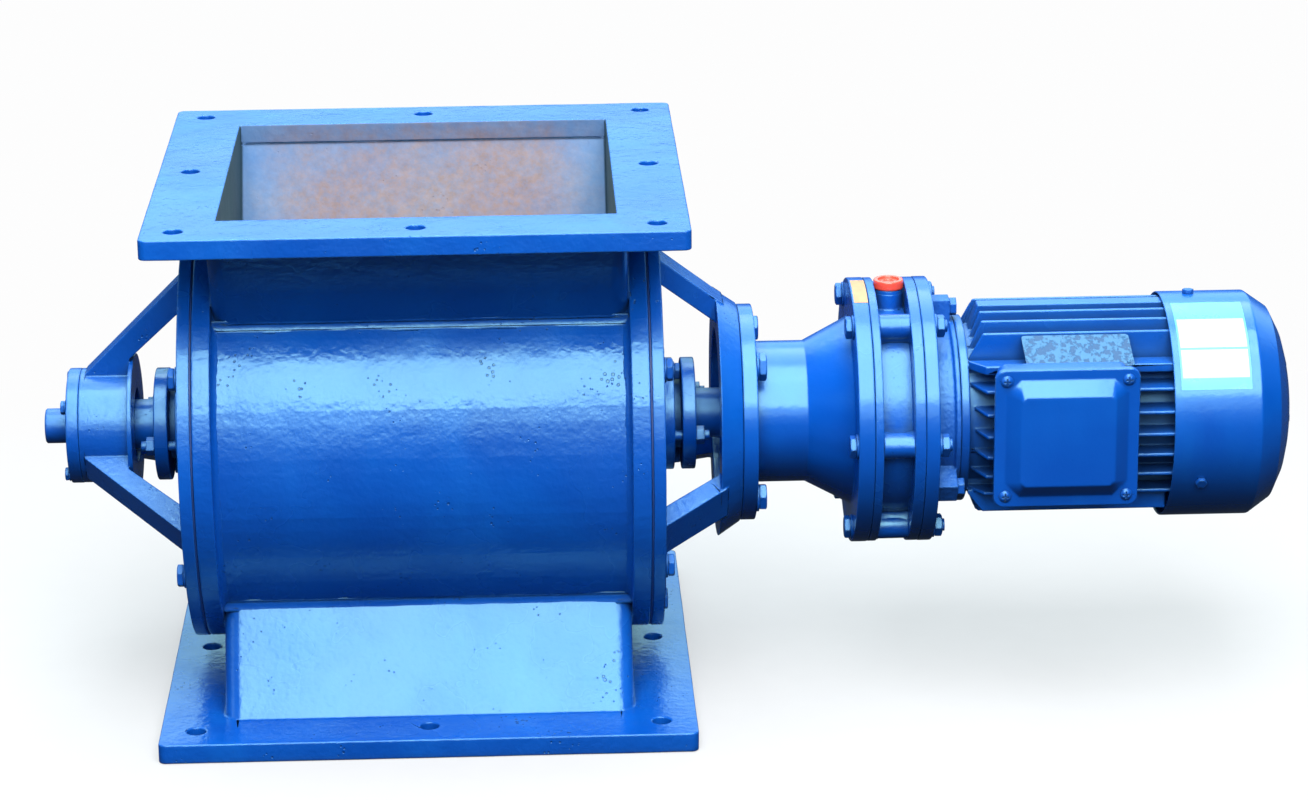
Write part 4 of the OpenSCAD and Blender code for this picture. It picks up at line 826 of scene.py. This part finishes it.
def label_material():
    """Blank label: white fields between cyan bands, a little smudged."""
    mat, g, shader = new_material("blank_label")
    split = g.new("ShaderNodeSeparateXYZ", Vector=g.coords((1.0, 1.0, 1.0), (0.0, 0.0, -AXIS_Z)))
    angle = g.math("ARCTAN2", g.math("MULTIPLY", split.outputs["Y"], -1.0), split.outputs["Z"])
    degrees = g.math("MULTIPLY", angle, 180.0 / math.pi)
    white = 0.0
    for start, end in LABEL_FIELDS:
        field = g.math("MULTIPLY", g.math("GREATER_THAN", degrees, start), g.math("LESS_THAN", degrees, end))
        white = g.math("ADD", field, white)
    aside = g.math("ABSOLUTE", g.math("SUBTRACT", split.outputs["X"], LABEL_X))
    inside = g.math("LESS_THAN", aside, 0.0265)
    white = g.math("MULTIPLY", white, inside)
    smudge = g.noise(60.0, 4.0, 0.7)
    cyan = g.mix(smudge, (0.045, 0.32, 0.46), (0.085, 0.42, 0.56))
    paper = g.mix(smudge, (0.30, 0.46, 0.50), (0.38, 0.52, 0.54))
    g.link(g.mix(white, cyan, paper), shader.inputs["Base Color"])
    g.link(g.ramp(smudge, [(0, 0.25), (1, 0.40)], 0.3, 0.7), shader.inputs["Roughness"])
    return mat


def mottled_plate_material():
    """Painted-over metal plate, worn through in spots; no lettering."""
    mat, g, shader = new_material("blank_nameplate")
    spots = g.noise(230.0, 3.0, 0.65, stretch=(1.0, 0.6, 1.0))
    worn = g.ramp(spots, [(0, 0.0), (1, 1.0)], 0.44, 0.54)
    g.link(g.mix(worn, (0.002, 0.030, 0.130), (0.035, 0.120, 0.260)), shader.inputs["Base Color"])
    constants(shader, Specular_Tint=SHEEN_BLUE)
    g.link(g.ramp(spots, [(0, 0.30), (1, 0.50)], 0.3, 0.7), shader.inputs["Roughness"])
    g.link(g.bump(worn, 0.6, 0.0004), shader.inputs["Normal"])
    return mat


# ---------- build ----------

set_camera()
set_world()
set_stage()
area_light("key", (0.30, -1.95, 2.35), (0.15, 0.0, 0.2), (2.4, 2.5), 160.0)
area_light("low_key", (0.10, -2.6, 1.15), (0.10, 0.0, 0.2), (2.4, 0.9), 17.0)
area_light("horizon", (0.10, -2.9, 0.45), (0.10, 0.0, 0.25), (2.6, 0.7), 2.5)
area_light("overhead", (0.15, -0.35, 3.1), (0.15, 0.0, 0.2), (2.6, 1.3), 90.0)
area_light("back_top", (0.20, 1.45, 2.75), (0.15, 0.0, 0.2), (2.4, 2.2), 55.0)
area_light("left", (-2.4, -1.0, 0.9), (-0.2, 0.0, 0.25), (0.8, 1.2), 3.0)

CAST = enamel("enamel_cast", rough=(0.19, 0.30), peel=0.45, cast=0.45, pits=0.9, inside=True)
COVER = enamel("enamel_cover", rough=(0.20, 0.32), peel=0.3, cast=0.30)
FRAME = enamel("enamel_frame", rough=(0.20, 0.30), peel=0.14, cast=0.10, pits=0.15, wear=0.35, gaps=0.035)
SMOOTH = enamel("enamel_smooth", rough=(0.16, 0.28), peel=0.14, cast=0.10, pits=0.15, wear=0.35)
GRAINY = enamel("enamel_grainy", rough=(0.40, 0.60), peel=1.3, cast=0.5, pits=0.6)
BOLTS = enamel("enamel_bolts", rough=(0.24, 0.40), peel=0.2, cast=0.15, pits=0.3, wear=0.9)
STEEL = metal("machined_steel", (0.62, 0.63, 0.65))
ROTOR_STEEL = metal("rotor_steel", (0.50, 0.48, 0.46), (0.4, 0.6), rust=0.8)
LAMINATION = metal("lamination_steel", (0.34, 0.35, 0.37), (0.4, 0.55), scratch=(60.0, 1.0, 1.0))
BLACK = plain("black_plastic", (0.018, 0.018, 0.020), (0.030, 0.030, 0.033))
FINISH = {
    "cast_paint": COVER, "bolt_paint": BOLTS, "machined_steel": STEEL, "rotor_steel": ROTOR_STEEL,
    "lamination": LAMINATION, "fan_plastic": BLACK,
    "winding": plain("winding", (0.40, 0.17, 0.06), (0.62, 0.32, 0.14), (0.25, 0.4), 300.0),
    "gasket": plain("painted_gasket", (0.001, 0.020, 0.110), (0.003, 0.034, 0.180), (0.5, 0.7)),
    "packing": plain("packing_braid", (0.50, 0.47, 0.38), (0.68, 0.65, 0.56), (0.7, 0.9), 500.0, 0.8),
    "seal": plain("seal_rubber", (0.012, 0.012, 0.013), (0.022, 0.022, 0.024)),
    "plug_red": plain("red_plug", (0.62, 0.050, 0.030), (0.78, 0.085, 0.050), (0.22, 0.34), 90.0,
                      Coat_Weight=0.3),
}
OWN = {
    "housing": CAST, "drive_end_shield": GRAINY, "ring_gear_housing": COVER, "fan_cowl": SMOOTH,
    "terminal_lid": SMOOTH, "terminal_box": SMOOTH, "motor_frame": FRAME, "output_housing": SMOOTH,
    "input_flange": SMOOTH, "rotor_shaft": BOLTS,
}
for node_name, obj in NODES.items():
    obj.data.materials.clear()
    obj.data.materials.append(OWN.get(node_name, FINISH[SLOT_OF[node_name]]))

ROUGH = {"housing": 0.0005, "end_cover_left": 0.0004, "end_cover_right": 0.0004, "ring_gear_housing": 0.0005,
         "drive_end_shield": 0.0004}
JOINED_WITH_HOLES = {"housing"}     # left in triangles, its flanges would crack
KEPT_TRIANGLES = {"terminal_box"}   # with its faces joined, its cable entry would close
WIDTH = {"housing": 0.0014, "fan_cowl": 0.0008, "end_cover_left": 0.0004, "terminal_box": 0.0005,
         "ring_gear_housing": 0.0008}
for node_name in [n for n in NODES if SLOT_OF[n] == "cast_paint"]:
    softened(node_name, OWN.get(node_name, COVER), WIDTH.get(node_name, 0.0011), ROUGH.get(node_name, 0.0))
body_fillets()
for node_name in ("cover_bolts", "stuffing_box_bolts"):
    hex_fasteners(node_name, 0)
hex_fasteners("mounting_bolts", 1)
hex_fasteners("through_bolts", -1)
hex_fasteners("through_nuts", 1, thread_out=0.002)
hex_fasteners("bearing_cap_bolts", -1)
through_bolt_bosses()
oil_plug()
curved_sheet("blank_cowl_label", BODY_OF["fan_cowl"], label_material(), (LABEL_X - 0.028, LABEL_X + 0.028),
             LABEL_DEGREES, LABEL_R)
STICKER = plain("worn_sticker", (0.33, 0.13, 0.035), (0.50, 0.30, 0.15), (0.35, 0.5), 160.0)
curved_sheet("blank_flange_sticker", BODY_OF["output_housing"], STICKER, (0.3405, 0.3515),
             (-3.0, 20.0), 0.1065)
rounded_plate("blank_nameplate", BODY_OF["motor_frame"], mottled_plate_material(),
              Vector((0.5145, -0.0668, AXIS_Z + 0.0665)), Vector((1.0, 0.0, 0.0)),
              Vector((0.0, -0.943, -0.334)), (0.085, 0.0419), 0.0012)

bpy.context.scene.view_settings.view_transform = "Standard"
